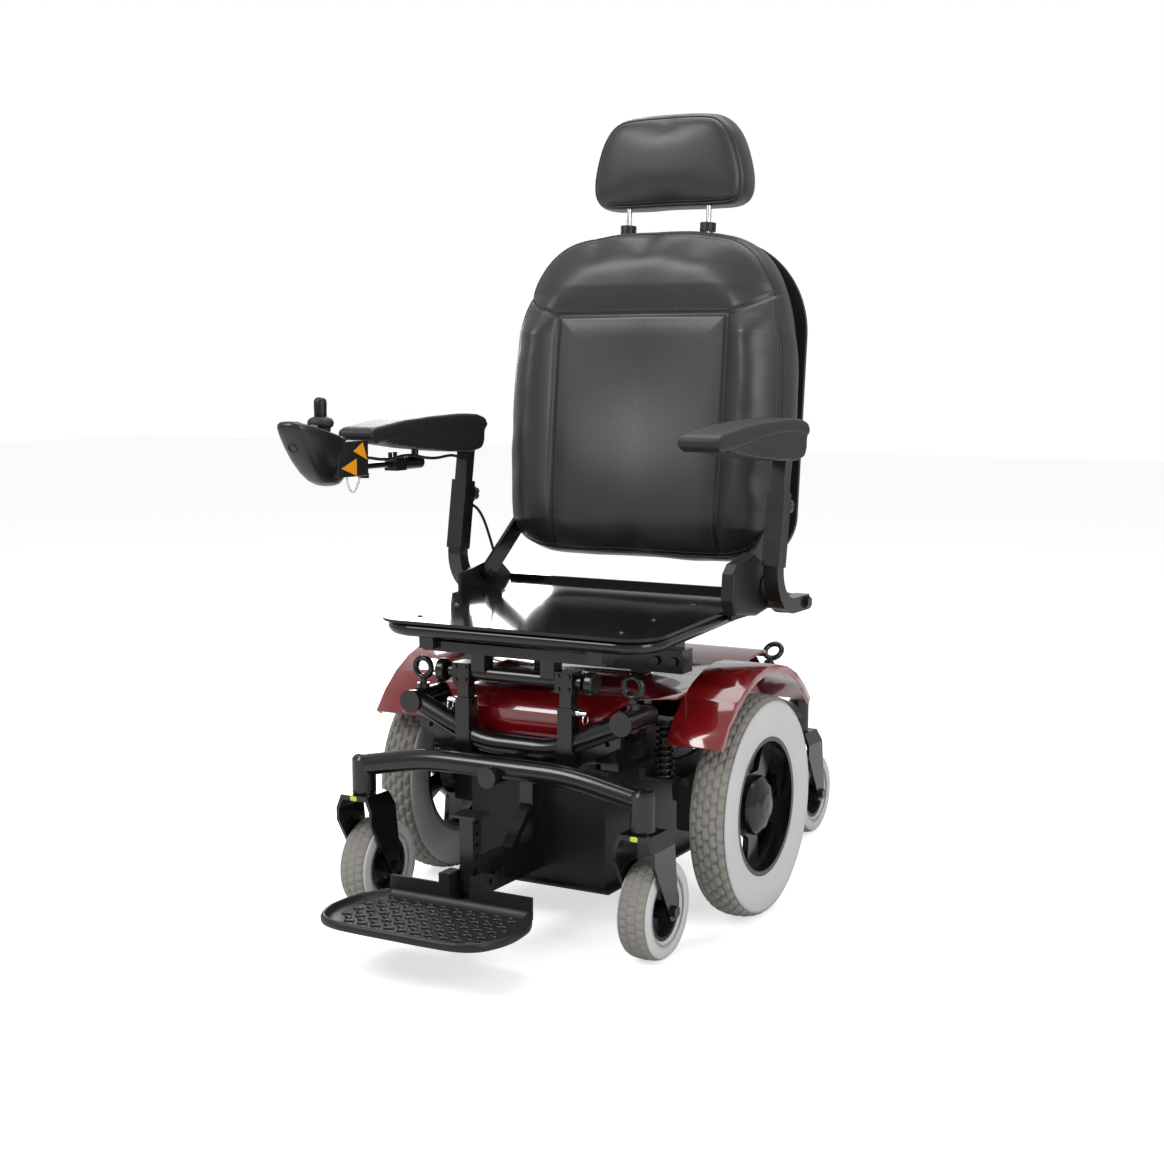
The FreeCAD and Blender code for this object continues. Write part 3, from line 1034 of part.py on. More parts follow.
def footplate():
    """Moulded tray with a raised rim, a rear wall and two hinge blocks."""
    plan = [(-FOOT_HALF_REAR, FOOT_REAR), (-152, -470), (-157, -520), (-146, -570), (-108, FOOT_FRONT),
            (108, FOOT_FRONT), (146, -570), (157, -520), (152, -470), (FOOT_HALF_REAR, FOOT_REAR)]
    tray = prism(plan, FOOT_RIM, "XY", FOOT_Z)
    hollow_plan = [(x * 0.95, (y - FOOT_REAR) * 0.95 + FOOT_REAR - 4) for x, y in plan]
    tray = tray.cut(prism(hollow_plan, FOOT_RIM, "XY", FOOT_Z + FOOT_T))
    wall = block(-FOOT_HALF_REAR, FOOT_HALF_REAR, FOOT_REAR - 5, FOOT_REAR, FOOT_Z, FOOT_Z + FOOT_WALL)
    ribs = [block(-104, 104, y, y + 4, FOOT_Z + 1, FOOT_Z + FOOT_T + 3) for y in range(-572, -425, 26)]
    blocks = []
    for s in (1, -1):
        x0, x1 = sorted((s * FOOT_BLOCK_X[0], s * FOOT_BLOCK_X[1]))
        blocks.append(block(x0, x1, FOOT_REAR - 4, FOOT_HINGE_Y, FOOT_Z - 4, FOOT_HINGE_Z + 10))
        blocks.append(rod((x0, FOOT_HINGE_Y, FOOT_HINGE_Z), (x1, FOOT_HINGE_Y, FOOT_HINGE_Z), 10))
        blocks.append(block(x0, x1, FOOT_HINGE_Y - 10, FOOT_HINGE_Y + 6, FOOT_Z - 4, FOOT_HINGE_Z))
    bore = rod((-60, FOOT_HINGE_Y, FOOT_HINGE_Z), (60, FOOT_HINGE_Y, FOOT_HINGE_Z), 5 + PIN_FIT)
    relief = block(-FOOT_BLOCK_X[0] + 1, FOOT_BLOCK_X[0] - 1, FOOT_REAR - 6, -370, FOOT_Z - 6, FOOT_Z + 60)
    return fused([tray, wall] + ribs + blocks).cut(bore).cut(relief)


# ---- the sub-parts ------------------------------------------------------------------------
def main():
    os.makedirs("parts", exist_ok=True)
    rails, receiver, posts = frame_rails(), arm_receiver(), seat_posts()
    cross = front_cross_tube().cut(rails)
    eyes = [eye.cut(rails).cut(cross) for eye in tie_down_eyes()]
    save("frame_rails", rails)
    save("front_cross_tube", cross)
    save("tie_down_eyes", eyes)
    save("battery_box", battery_box())
    save("batteries", batteries())
    save("control_module", control_module())
    moulding = shroud()
    moulding[0] = largest(moulding[0].cut(Part.makeCompound([rails, cross] + eyes)))
    save("shroud", moulding)
    frame = seat_frame().cut(receiver)
    save("seat_plate", seat_plate().cut(frame))
    save("seat_frame", frame)
    save("seat_posts", posts)
    save("recline_covers", [cover.cut(receiver) for cover in recline_covers()])
    save("arm_receiver", receiver)
    save("footrest_column", footrest_column())
    save("footplate", footplate())
    save("caster_beam", caster_beam())
    unit, spring, lever = drive_unit(), strut_spring(), freewheel_lever()
    unit[1] = fused([unit[1], lever_post()])
    tyre, rim, pin = drive_tyre(), drive_rim(), release_pin()
    for name, side in SIDES:
        save(f"drive_unit_{name}", [sided(s, side) for s in unit])
        save(f"spring_{name}", sided(spring, side))
        save(f"freewheel_lever_{name}", sided(lever, side))
        save(f"drive_tyre_{name}", sided(tyre, side))
        save(f"drive_rim_{name}", [sided(s, side) for s in rim])
        save(f"release_pin_{name}", sided(pin, side))
        for end, (x, y) in (("front", FRONT_STEM), ("rear", REAR_STEM)):
            save(f"fork_{end}_{name}", caster_fork(side * x, y))
            save(f"caster_{end}_{name}", caster_wheel(side * x, y + TRAIL))
    cushion, shell, guides = backrest()
    straps = both(back_brackets())
    save("back_cushion", cushion.cut(Part.makeCompound(straps)))
    save("back_shell", [shell.cut(Part.makeCompound(straps))] + guides)
    save("back_brackets", straps)
    head_pad, head_posts = headrest()
    save("headrest_pad", head_pad)
    save("headrest_posts", head_posts)
    tube, knob, post, (soft, hard) = arm_tube(), arm_knob(), arm_post(), pad_shapes()
    for name, side in SIDES:
        save(f"arm_tube_{name}", sided(tube, side))
        save(f"arm_knob_{name}", sided(knob, side))
        save(f"arm_post_{name}", sided(post, side))
        save(f"arm_pad_{name}", [sided(soft, side), sided(hard, side)])
    pod, reflectors = joystick_pod()
    save("joystick_pod", [pod] + reflectors)
    save("joystick_gimbal", joystick_gimbal())
    save("joystick_stick", joystick_stick())
    save("joystick_rod", joystick_rod())
    save("joystick_bracket", joystick_bracket().cut(flipped(hard)))
    for name in BUTTONS:
        save(name, pod_button(name))
    save("speed_rocker", pod_rocker())
    save("rod_cable", cord(ROD_CABLE, CABLE_R))
    save("arm_cable", cord(ARM_CABLE, CABLE_R))
    save("chain", cord(CHAIN, CHAIN_R))


main()
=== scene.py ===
import bmesh
import bpy
import json
import math
import numpy as np
from mathutils import Matrix, Vector, noise
from mathutils.bvhtree import BVHTree

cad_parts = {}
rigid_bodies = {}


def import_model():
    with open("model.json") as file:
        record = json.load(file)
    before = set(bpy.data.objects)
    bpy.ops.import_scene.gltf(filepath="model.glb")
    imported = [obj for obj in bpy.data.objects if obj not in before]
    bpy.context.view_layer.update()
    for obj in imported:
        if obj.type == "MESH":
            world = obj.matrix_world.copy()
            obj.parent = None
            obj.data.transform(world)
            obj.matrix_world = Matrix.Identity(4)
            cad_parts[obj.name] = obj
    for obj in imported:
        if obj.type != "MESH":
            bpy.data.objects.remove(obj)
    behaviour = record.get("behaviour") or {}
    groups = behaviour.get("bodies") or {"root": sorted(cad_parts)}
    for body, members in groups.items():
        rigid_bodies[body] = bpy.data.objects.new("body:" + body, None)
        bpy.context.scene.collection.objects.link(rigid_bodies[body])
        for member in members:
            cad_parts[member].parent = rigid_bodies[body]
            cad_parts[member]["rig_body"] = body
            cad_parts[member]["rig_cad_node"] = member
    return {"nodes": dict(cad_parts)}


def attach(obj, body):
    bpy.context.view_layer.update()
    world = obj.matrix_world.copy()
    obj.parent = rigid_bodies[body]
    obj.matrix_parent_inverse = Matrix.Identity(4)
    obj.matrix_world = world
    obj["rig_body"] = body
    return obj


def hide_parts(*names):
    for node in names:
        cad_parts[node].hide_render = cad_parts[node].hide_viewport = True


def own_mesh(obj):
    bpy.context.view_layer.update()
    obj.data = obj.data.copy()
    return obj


# Looks of a mid-wheel-drive power wheelchair. Metres; +X is the user's left, -Y is forward, +Z up.
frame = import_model()
NODES = frame["nodes"]
SCENE = bpy.context.scene
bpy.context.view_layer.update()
SIDES = (("left", 1), ("right", -1))


# ---- camera -------------------------------------------------------------------------------
def add_camera():
    data = bpy.data.cameras.new("camera")
    data.sensor_width = 36.0
    data.lens = 54.59
    data.clip_end = 60.0
    eye = bpy.data.objects.new("camera", data)
    eye.location = (1.38965, -2.5416, 0.87581)
    eye.rotation_euler = (math.radians(90 - 7.03), 0, math.radians(29.09))
    SCENE.collection.objects.link(eye)
    SCENE.camera = eye


add_camera()


# ---- mesh helpers -------------------------------------------------------------------------
def add_mesh(name, points, faces, smooth=True):
    data = bpy.data.meshes.new(name)
    data.from_pydata([tuple(p) for p in points], [], faces)
    data.validate()
    data.update()
    data.polygons.foreach_set("use_smooth", [smooth] * len(data.polygons))
    piece = bpy.data.objects.new(name, data)
    SCENE.collection.objects.link(piece)
    return piece


def grid_faces(rows, columns, wrap_rows=False, wrap_columns=False):
    faces = []
    for i in range(rows if wrap_rows else rows - 1):
        for j in range(columns if wrap_columns else columns - 1):
            a, b = i * columns + j, i * columns + (j + 1) % columns
            k = (i + 1) % rows
            faces.append((a, b, k * columns + (j + 1) % columns, k * columns + j))
    return faces


def copy_node(name, node):
    piece = NODES[node].copy()
    piece.data = NODES[node].data.copy()
    piece.name = name
    piece.parent = None
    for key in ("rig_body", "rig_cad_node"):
        if key in piece:
            del piece[key]
    piece.hide_render = False
    piece.hide_viewport = False
    SCENE.collection.objects.link(piece)
    return piece


def apply_modifiers(piece):
    graph = bpy.context.evaluated_depsgraph_get()
    graph.update()
    data = bpy.data.meshes.new_from_object(piece.evaluated_get(graph))
    piece.modifiers.clear()
    piece.data = data
    return piece


def curve(name, points, radius, cyclic=False, order=3, resolution=8):
    data = bpy.data.curves.new(name, "CURVE")
    data.dimensions = "3D"
    data.bevel_depth = radius
    data.bevel_resolution = 4
    data.resolution_u = resolution
    data.use_fill_caps = True
    spline = data.splines.new("NURBS")
    spline.points.add(len(points) - 1)
    for point, place in zip(spline.points, points):
        point.co = (*place, 1.0)
    spline.order_u = order
    spline.use_endpoint_u = not cyclic
    spline.use_cyclic_u = cyclic
    piece = bpy.data.objects.new(name, data)
    SCENE.collection.objects.link(piece)
    return piece


def finish_piece(piece, body, material, slot, *nodes):
    if material is not None:
        piece.data.materials.clear()
        piece.data.materials.append(material)
    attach(piece, body)
    if nodes:
        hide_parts(*nodes)
    return piece


def block(name, low, high, edge, segments=3):
    """Box with rounded edges."""
    points = [(x, y, z) for x in (low[0], high[0]) for y in (low[1], high[1]) for z in (low[2], high[2])]
    faces = [(0, 1, 3, 2), (4, 6, 7, 5), (0, 4, 5, 1), (2, 3, 7, 6), (0, 2, 6, 4), (1, 5, 7, 3)]
    return apply_modifiers(bevelled(add_mesh(name, points, faces), edge, segments))


def bevelled(piece, width, segments=2):
    edge = piece.modifiers.new("bevel", "BEVEL")
    edge.width = width
    edge.segments = segments
    edge.limit_method = "ANGLE"
    edge.angle_limit = math.radians(35)
    return piece


# ---- free cords ---------------------------------------------------------------------------
ROD_CABLE = [(-0.292, -0.2506, 0.728), (-0.292, -0.224, 0.727), (-0.293, -0.190, 0.722),
             (-0.294, -0.156, 0.722), (-0.296, -0.122, 0.726), (-0.296, -0.090, 0.725),
             (-0.293, -0.062, 0.719), (-0.291, -0.030, 0.717), (-0.291, 0.000, 0.720),
             (-0.292, 0.028, 0.720), (-0.294, 0.055, 0.712)]
ARM_CABLE = [(-0.288, 0.074, 0.631), (-0.2864, 0.084, 0.627), (-0.2836, 0.094, 0.617),
             (-0.2814, 0.104, 0.602), (-0.2804, 0.114, 0.583), (-0.280, 0.124, 0.563),
             (-0.280, 0.134, 0.543), (-0.2803, 0.145, 0.524), (-0.281, 0.158, 0.502)]
CHAIN = [(-0.305, -0.266, 0.6996), (-0.3056, -0.265, 0.690), (-0.3068, -0.260, 0.681),
         (-0.3084, -0.252, 0.674), (-0.3106, -0.243, 0.6715), (-0.313, -0.234, 0.673),
         (-0.3154, -0.226, 0.679), (-0.317, -0.219, 0.686), (-0.318, -0.213, 0.694)]


def spline_length(points):
    line = curve("measure", points, 0.0, resolution=24)
    graph = bpy.context.evaluated_depsgraph_get()
    data = bpy.data.meshes.new_from_object(line.evaluated_get(graph))
    places = [v.co.copy() for v in data.vertices]
    bpy.data.objects.remove(line)
    return sum((b - a).length for a, b in zip(places, places[1:])), places


# ---- shared shader effects ----------------------------------------------------------------
def new_group(name, inputs, outputs):
    group = bpy.data.node_groups.new(name, "ShaderNodeTree")
    for label, kind, value in inputs:
        socket = group.interface.new_socket(label, in_out="INPUT", socket_type=kind)
        socket.default_value = value
    for label, kind in outputs:
        group.interface.new_socket(label, in_out="OUTPUT", socket_type=kind)
    return group, group.nodes.new("NodeGroupInput"), group.nodes.new("NodeGroupOutput")


def link(tree, *pairs):
    for source, target in pairs:
        tree.links.new(source, target)


def make_mottle():
    """Slow colour and roughness drift: handling marks, uneven gloss and dust on upward faces."""
    group, given, out = new_group(
        "surface_mottle",
        [("Color", "NodeSocketColor", (0.1, 0.1, 0.1, 1)), ("Roughness", "NodeSocketFloat", 0.5),
         ("Scale", "NodeSocketFloat", 9.0), ("Drift", "NodeSocketFloat", 0.12), ("Dust", "NodeSocketFloat",
                                                                                 0.05)],
        [("Color", "NodeSocketColor"), ("Roughness", "NodeSocketFloat")])
    nodes = group.nodes
    place = nodes.new("ShaderNodeTexCoord")
    cloud = nodes.new("ShaderNodeTexNoise")
    cloud.inputs["Detail"].default_value = 5.0
    swing = nodes.new("ShaderNodeMapRange")
    swing.inputs["To Min"].default_value = -1.0
    amount = nodes.new("ShaderNodeMath")
    amount.operation = "MULTIPLY"
    rough = nodes.new("ShaderNodeMath")
    rough.operation = "MULTIPLY_ADD"
    rough.use_clamp = True
    bright = nodes.new("ShaderNodeMath")
    bright.operation = "ADD"
    bright.inputs[1].default_value = 1.0
    tint = nodes.new("ShaderNodeHueSaturation")
    shape = nodes.new("ShaderNodeNewGeometry")
    parts = nodes.new("ShaderNodeSeparateXYZ")
    settle = nodes.new("ShaderNodeMapRange")
    settle.inputs["From Min"].default_value = 0.4
    veil = nodes.new("ShaderNodeMath")
    veil.operation = "MULTIPLY"
    dusty = nodes.new("ShaderNodeMix")
    dusty.data_type = "RGBA"
    dusty.inputs["B"].default_value = (0.35, 0.34, 0.32, 1)
    link(group, (place.outputs["Object"], cloud.inputs["Vector"]), (given.outputs["Scale"],
                                                                    cloud.inputs["Scale"]),
         (cloud.outputs["Fac"], swing.inputs["Value"]), (swing.outputs["Result"], amount.inputs[0]),
         (given.outputs["Drift"], amount.inputs[1]), (amount.outputs[0], bright.inputs[0]),
         (bright.outputs[0], tint.inputs["Value"]), (given.outputs["Color"], tint.inputs["Color"]),
         (amount.outputs[0], rough.inputs[0]), (given.outputs["Roughness"], rough.inputs[1]),
         (given.outputs["Roughness"], rough.inputs[2]), (rough.outputs[0], out.inputs["Roughness"]),
         (shape.outputs["Normal"], parts.inputs["Vector"]), (parts.outputs["Z"], settle.inputs["Value"]),
         (settle.outputs["Result"], veil.inputs[0]), (given.outputs["Dust"], veil.inputs[1]),
         (veil.outputs[0], dusty.inputs["Factor"]), (tint.outputs["Color"], dusty.inputs["A"]),
         (dusty.outputs["Result"], out.inputs["Color"]))
    return group


def make_grain():
    """Pebbled skin: cells of a given size with finer noise between them, as a normal."""
    group, given, out = new_group(
        "pebble_grain",
        [("Scale", "NodeSocketFloat", 500.0), ("Strength", "NodeSocketFloat", 0.2),
         ("Depth", "NodeSocketFloat", 0.0004)],
        [("Normal", "NodeSocketVector"), ("Height", "NodeSocketFloat")])
    nodes = group.nodes
    place = nodes.new("ShaderNodeTexCoord")
    cells = nodes.new("ShaderNodeTexVoronoi")
    cells.feature = "SMOOTH_F1"
    fine = nodes.new("ShaderNodeTexNoise")
    fine.inputs["Detail"].default_value = 3.0
    both = nodes.new("ShaderNodeMath")
    both.operation = "ADD"
    bump = nodes.new("ShaderNodeBump")
    link(group, (place.outputs["Object"], cells.inputs["Vector"]), (place.outputs["Object"],
                                                                    fine.inputs["Vector"]),
         (given.outputs["Scale"], cells.inputs["Scale"]), (given.outputs["Scale"], fine.inputs["Scale"]),
         (cells.outputs["Distance"], both.inputs[0]), (fine.outputs["Fac"], both.inputs[1]),
         (both.outputs[0], bump.inputs["Height"]), (given.outputs["Strength"], bump.inputs["Strength"]),
         (given.outputs["Depth"], bump.inputs["Distance"]), (bump.outputs["Normal"], out.inputs["Normal"]),
         (both.outputs[0], out.inputs["Height"]))
    return group


def make_edge_wear():
    """Mask of the convex edges, broken up, where paint rubs thin."""
    group, given, out = new_group(
        "edge_wear", [("Amount", "NodeSocketFloat", 0.3), ("Color", "NodeSocketColor", (0.1, 0.1, 0.1, 1)),
                      ("Bare", "NodeSocketColor", (0.3, 0.3, 0.3, 1))], [("Color", "NodeSocketColor")])
    nodes = group.nodes
    shape = nodes.new("ShaderNodeNewGeometry")
    sharp = nodes.new("ShaderNodeMapRange")
    sharp.inputs["From Min"].default_value = 0.54
    sharp.inputs["From Max"].default_value = 0.72
    place = nodes.new("ShaderNodeTexCoord")
    broken = nodes.new("ShaderNodeTexNoise")
    broken.inputs["Scale"].default_value = 60.0
    spots = nodes.new("ShaderNodeMath")
    spots.operation = "MULTIPLY"
    level = nodes.new("ShaderNodeMath")
    level.operation = "MULTIPLY"
    worn = nodes.new("ShaderNodeMix")
    worn.data_type = "RGBA"
    link(group, (shape.outputs["Pointiness"], sharp.inputs["Value"]), (place.outputs["Object"],
                                                                       broken.inputs["Vector"]),
         (sharp.outputs["Result"], spots.inputs[0]), (broken.outputs["Fac"], spots.inputs[1]),
         (spots.outputs[0], level.inputs[0]), (given.outputs["Amount"], level.inputs[1]),
         (level.outputs[0], worn.inputs["Factor"]), (given.outputs["Color"], worn.inputs["A"]),
         (given.outputs["Bare"], worn.inputs["B"]), (worn.outputs["Result"], out.inputs["Color"]))
    return group


MOTTLE = make_mottle()
GRAIN = make_grain()
WEAR = make_edge_wear()


def finish_material(name, color, roughness, metallic=0.0, coat=0.0, coat_rough=0.08, grain=None, wear=0.0,
                    drift=0.12, dust=0.04, scale=9.0, specular=0.5, sheen=0.0, bare=(0.25, 0.25, 0.25)):
    """A Principled finish whose colour and roughness drift over the surface.
    grain is (scale, strength, depth)."""
    made = bpy.data.materials.new(name)
    made.use_nodes = True
    tree = made.node_tree
    shader = tree.nodes["Principled BSDF"]
    shader.inputs["Metallic"].default_value = metallic
    shader.inputs["Coat Weight"].default_value = coat
    shader.inputs["Coat Roughness"].default_value = coat_rough
    shader.inputs["Specular IOR Level"].default_value = specular
    shader.inputs["Sheen Weight"].default_value = sheen
    mottle = tree.nodes.new("ShaderNodeGroup")
    mottle.node_tree = MOTTLE
    mottle.inputs["Color"].default_value = (*color, 1)
    mottle.inputs["Roughness"].default_value = roughness
    mottle.inputs["Scale"].default_value = scale
    mottle.inputs["Drift"].default_value = drift
    mottle.inputs["Dust"].default_value = dust
    last = mottle.outputs["Color"]
    if wear:
        rubbed = tree.nodes.new("ShaderNodeGroup")
        rubbed.node_tree = WEAR
        rubbed.inputs["Amount"].default_value = wear
        rubbed.inputs["Bare"].default_value = (*bare, 1)
        link(tree, (last, rubbed.inputs["Color"]))
        last = rubbed.outputs["Color"]
    link(tree, (last, shader.inputs["Base Color"]), (mottle.outputs["Roughness"], shader.inputs["Roughness"]))
    if grain:
        skin = tree.nodes.new("ShaderNodeGroup")
        skin.node_tree = GRAIN
        for label, value in zip(("Scale", "Strength", "Depth"), grain):
            skin.inputs[label].default_value = value
        link(tree, (skin.outputs["Normal"], shader.inputs["Normal"]))
    return made


BLACK_PAINT = finish_material("black_paint", (0.007, 0.006, 0.0055), 0.17, wear=0.10, dust=0.005)
SEAT_PAINT = finish_material("seat_paint", (0.005, 0.005, 0.005), 0.09, specular=0.42, dust=0.004)
MOULDED_BLACK = finish_material("moulded_black", (0.009, 0.009, 0.009), 0.40, grain=(900, 0.12, 0.0002),
                                wear=0.10, dust=0.012, specular=0.35)
SATIN_BLACK = finish_material("satin_black", (0.010, 0.010, 0.0105), 0.28, grain=(1200, 0.06, 0.0002),
                              dust=0.01)
RED_GLOSS = finish_material("red_gloss", (0.20, 0.004, 0.006), 0.16, coat=1.0, coat_rough=0.03, drift=0.10,
                            dust=0.015)
TYRE_GREY = finish_material("tyre_grey", (0.55, 0.55, 0.55), 0.75, grain=(700, 0.25, 0.0003), drift=0.10,
                            dust=0.12)
TREAD_GREY = finish_material("tread_grey", (0.25, 0.24, 0.215), 0.85, grain=(420, 0.35, 0.0004),
                             drift=0.30, dust=0.10)
VINYL = finish_material("vinyl", (0.024, 0.026, 0.029), 0.37, grain=(620, 0.30, 0.00035), drift=0.10,
                        dust=0.015)
PIPING = finish_material("piping", (0.014, 0.015, 0.017), 0.44, grain=(900, 0.2, 0.0002), dust=0.01)
THREAD = finish_material("thread", (0.10, 0.105, 0.115), 0.7, grain=(2400, 0.4, 0.0001))
FOAM_SKIN = finish_material("foam_skin", (0.013, 0.013, 0.0135), 0.50, grain=(1000, 0.3, 0.0002),
                            dust=0.012, specular=0.4)
CHROME = finish_material("chrome", (0.75, 0.75, 0.76), 0.08, metallic=1.0, drift=0.25, dust=0.0)
RUBBER = finish_material("rubber", (0.009, 0.009, 0.009), 0.6, grain=(800, 0.1, 0.0002))
AMBER = finish_material("amber_reflector", (0.95, 0.36, 0.01), 0.18, coat=1.0, grain=(420, 0.25, 0.0003),
                        dust=0.0)
LENS = finish_material("amber_lens", (0.90, 0.40, 0.02), 0.12, coat=1.0, grain=(300, 0.2, 0.0003), dust=0.0)
LABEL = finish_material("green_dot", (0.55, 0.66, 0.06), 0.5, drift=0.05)
GREY_KEY = finish_material("grey_key", (0.20, 0.20, 0.21), 0.5)
RED_KEY = finish_material("red_key", (0.45, 0.02, 0.02), 0.4)
WINDING = finish_material("motor_paint", (0.012, 0.012, 0.0125), 0.5, grain=(260, 0.25, 0.0006), wear=0.15,
                          specular=0.35)


# ---- soft goods ---------------------------------------------------------------------------
def smooth_ring(half_outline, count):
    """Closed ring through an outline given for x >= 0 from the bottom centre to the top centre."""
    whole = half_outline + [(-x, z) for x, z in half_outline[-2:0:-1]]
    size = len(whole)
    ring = []
    for k in range(count):
        at = k * size / count
        i, t = int(at), at - int(at)
        p = [np.array(whole[(i + j) % size]) for j in (-1, 0, 1, 2)]
        ring.append(0.5 * (2 * p[1] + (p[2] - p[0]) * t + (2 * p[0] - 5 * p[1] + 4 * p[2] - p[3]) * t * t
                           + (3 * p[1] - p[0] - 3 * p[2] + p[3]) * t ** 3))
    return np.array(ring)


def inset_ring(ring, amount):
    ahead, behind = np.roll(ring, -1, 0), np.roll(ring, 1, 0)
    along = ahead - behind
    along /= np.linalg.norm(along, axis=1)[:, None]
    return ring + amount * np.stack([-along[:, 1], along[:, 0]], 1)


def pillow(name, half_outline, front, rear, edge):
    """Closed flat-faced block with rounded edges, the shape before it is stuffed."""
    ring = smooth_ring(half_outline, 160)
    rows = []
    for k in range(6):
        turn = math.radians(90 * k / 5)
        rows.append((edge * (1 - math.sin(turn)), front + edge * (1 - math.cos(turn))))
    rows += [(inset, rear - (y - front)) for inset, y in rows[::-1]]
    points = []
    for inset, y in rows:
        points += [(x, y, z) for x, z in inset_ring(ring, inset)]
    faces = grid_faces(len(rows), len(ring), wrap_columns=True)
    faces.append(tuple(range(len(ring))))
    faces.append(tuple(range(len(rows) * len(ring) - 1, (len(rows) - 1) * len(ring) - 1, -1)))
    piece = add_mesh(name, points, faces)
    tidy_normals(piece)
    return piece


def tidy_normals(piece):
    mesh = bmesh.new()
    mesh.from_mesh(piece.data)
    bmesh.ops.recalc_face_normals(mesh, faces=mesh.faces)
    mesh.to_mesh(piece.data)
    mesh.free()


def places_of(piece):
    flat = np.zeros(len(piece.data.vertices) * 3)
    piece.data.vertices.foreach_get("co", flat)
    return flat.reshape(-1, 3)


def normals_of(piece):
    flat = np.zeros(len(piece.data.vertices) * 3)
    piece.data.vertices.foreach_get("normal", flat)
    return flat.reshape(-1, 3)


def move_to(piece, places):
    piece.data.vertices.foreach_set("co", places.ravel())
    piece.data.update()


def stuff(piece, voxel, cap, pressure=4.0, hold=0.05):
    """Remeshes a pad, blows it up as cloth, limits how far it moved, smooths it and subdivides it once.
    hold is the share of the pull in the cover's own plane that is kept: the foam core resists the rest."""
    remesh = piece.modifiers.new("remesh", "REMESH")
    remesh.mode = "VOXEL"
    remesh.voxel_size = voxel
    remesh.use_smooth_shade = True
    apply_modifiers(piece)
    before = places_of(piece)
    cloth = piece.modifiers.new("cloth", "CLOTH")
    cloth.settings.use_pressure = True
    cloth.settings.uniform_pressure_force = pressure
    cloth.settings.effector_weights.gravity = 0.0
    cloth.settings.quality = 5
    cloth.settings.bending_stiffness = 6.0
    cloth.point_cache.frame_start = 1
    cloth.point_cache.frame_end = 20
    for step in range(1, 21):
        SCENE.frame_set(step)
    apply_modifiers(piece)
    SCENE.frame_set(1)
    moved = places_of(piece) - before
    length = np.linalg.norm(moved, axis=1)
    shorter = np.minimum(1.0, cap / np.maximum(length, 1e-9))
    moved *= shorter[:, None] * np.array([hold, 1.0, hold])
    move_to(piece, before + moved)
    ease = piece.modifiers.new("ease", "SMOOTH")
    ease.iterations = 30
    ease.factor = 0.5
    finer = piece.modifiers.new("finer", "SUBSURF")
    finer.levels = 1
    finer.render_levels = 1
    apply_modifiers(piece)
    piece.data.polygons.foreach_set("use_smooth", [True] * len(piece.data.polygons))
    return piece


def seam_distance(places, lines):
    """Distance in the X-Z plane from each vertex to the nearest of several polylines."""
    flat = places[:, (0, 2)]
    nearest = np.full(len(flat), 9.0)
    for line in lines:
        for a, b in zip(line, line[1:]):
            a, b = np.array(a), np.array(b)
            run = b - a
            t = np.clip(((flat - a) @ run) / (run @ run), 0, 1)
            nearest = np.minimum(nearest, np.linalg.norm(flat - (a + t[:, None] * run), axis=1))
    return nearest


def press_front(piece, relief, lines, depth, width, soft=0.020):
    """Moves the front face by relief(x, z) and sews the seam lines into it."""
    places, facing = places_of(piece), -normals_of(piece)[:, 1]
    front = np.clip(facing / 0.6, 0, 1)
    away = seam_distance(places, lines)
    valley = depth * np.exp(-(away / width) ** 2) + 0.6 * depth * np.exp(-(away / soft) ** 2)
    places[:, 1] += front * (valley - relief(places[:, 0], places[:, 2]))
    move_to(piece, places)


def lean_back(*pieces):
    """The back is shaped upright and then leaned about its lower front edge."""
    pivot = Matrix.Translation((0, 0.124, 0.546))
    turn = pivot @ Matrix.Rotation(math.radians(-6.0), 4, "X") @ pivot.inverted()
    for piece in pieces:
        piece.data.transform(turn)
        piece.data.update()


def surface_points(piece, line, step, lift):
    """Evenly spaced points on the piece's front face over an X-Z polyline."""
    tree = BVHTree.FromObject(piece, bpy.context.evaluated_depsgraph_get())
    line = np.array(line)
    runs = np.linalg.norm(np.diff(line, axis=0), axis=1)
    reach = np.concatenate([[0], np.cumsum(runs)])
    found = []
    for at in np.arange(0, reach[-1], step):
        x, z = (np.interp(at, reach, line[:, k]) for k in (0, 1))
        place, normal, _, _ = tree.ray_cast(Vector((x, -0.5, z)), Vector((0, 1, 0)))
        if place is not None:
            found.append((place + normal * lift, normal))
    return found


def stitches(name, piece, lines, pitch=0.0065, length=0.0042, radius=0.00055, lift=0.0003):
    """Row of short sewn stitches lying on a surface."""
    points, faces = [], []
    for line in lines:
        spots = surface_points(piece, line, pitch, lift)
        for (a, normal), (b, _) in zip(spots, spots[1:]):
            along = (b - a).normalized()
            side = along.cross(normal).normalized()
            first = len(points)
            for t, fat in ((0, 0.35), (0.25, 1), (0.75, 1), (1, 0.35)):
                middle = a + along * (length * t)
                for k in range(5):
                    turn = 2 * math.pi * k / 5
                    points.append(middle + radius * fat * (side * math.cos(turn) + normal * math.sin(turn)))
            faces += [tuple(first + i for i in f) for f in grid_faces(4, 5, wrap_columns=True)]
            faces.append(tuple(first + k for k in range(5)))
            faces.append(tuple(first + 15 + k for k in range(5)))
    return add_mesh(name, points, faces)


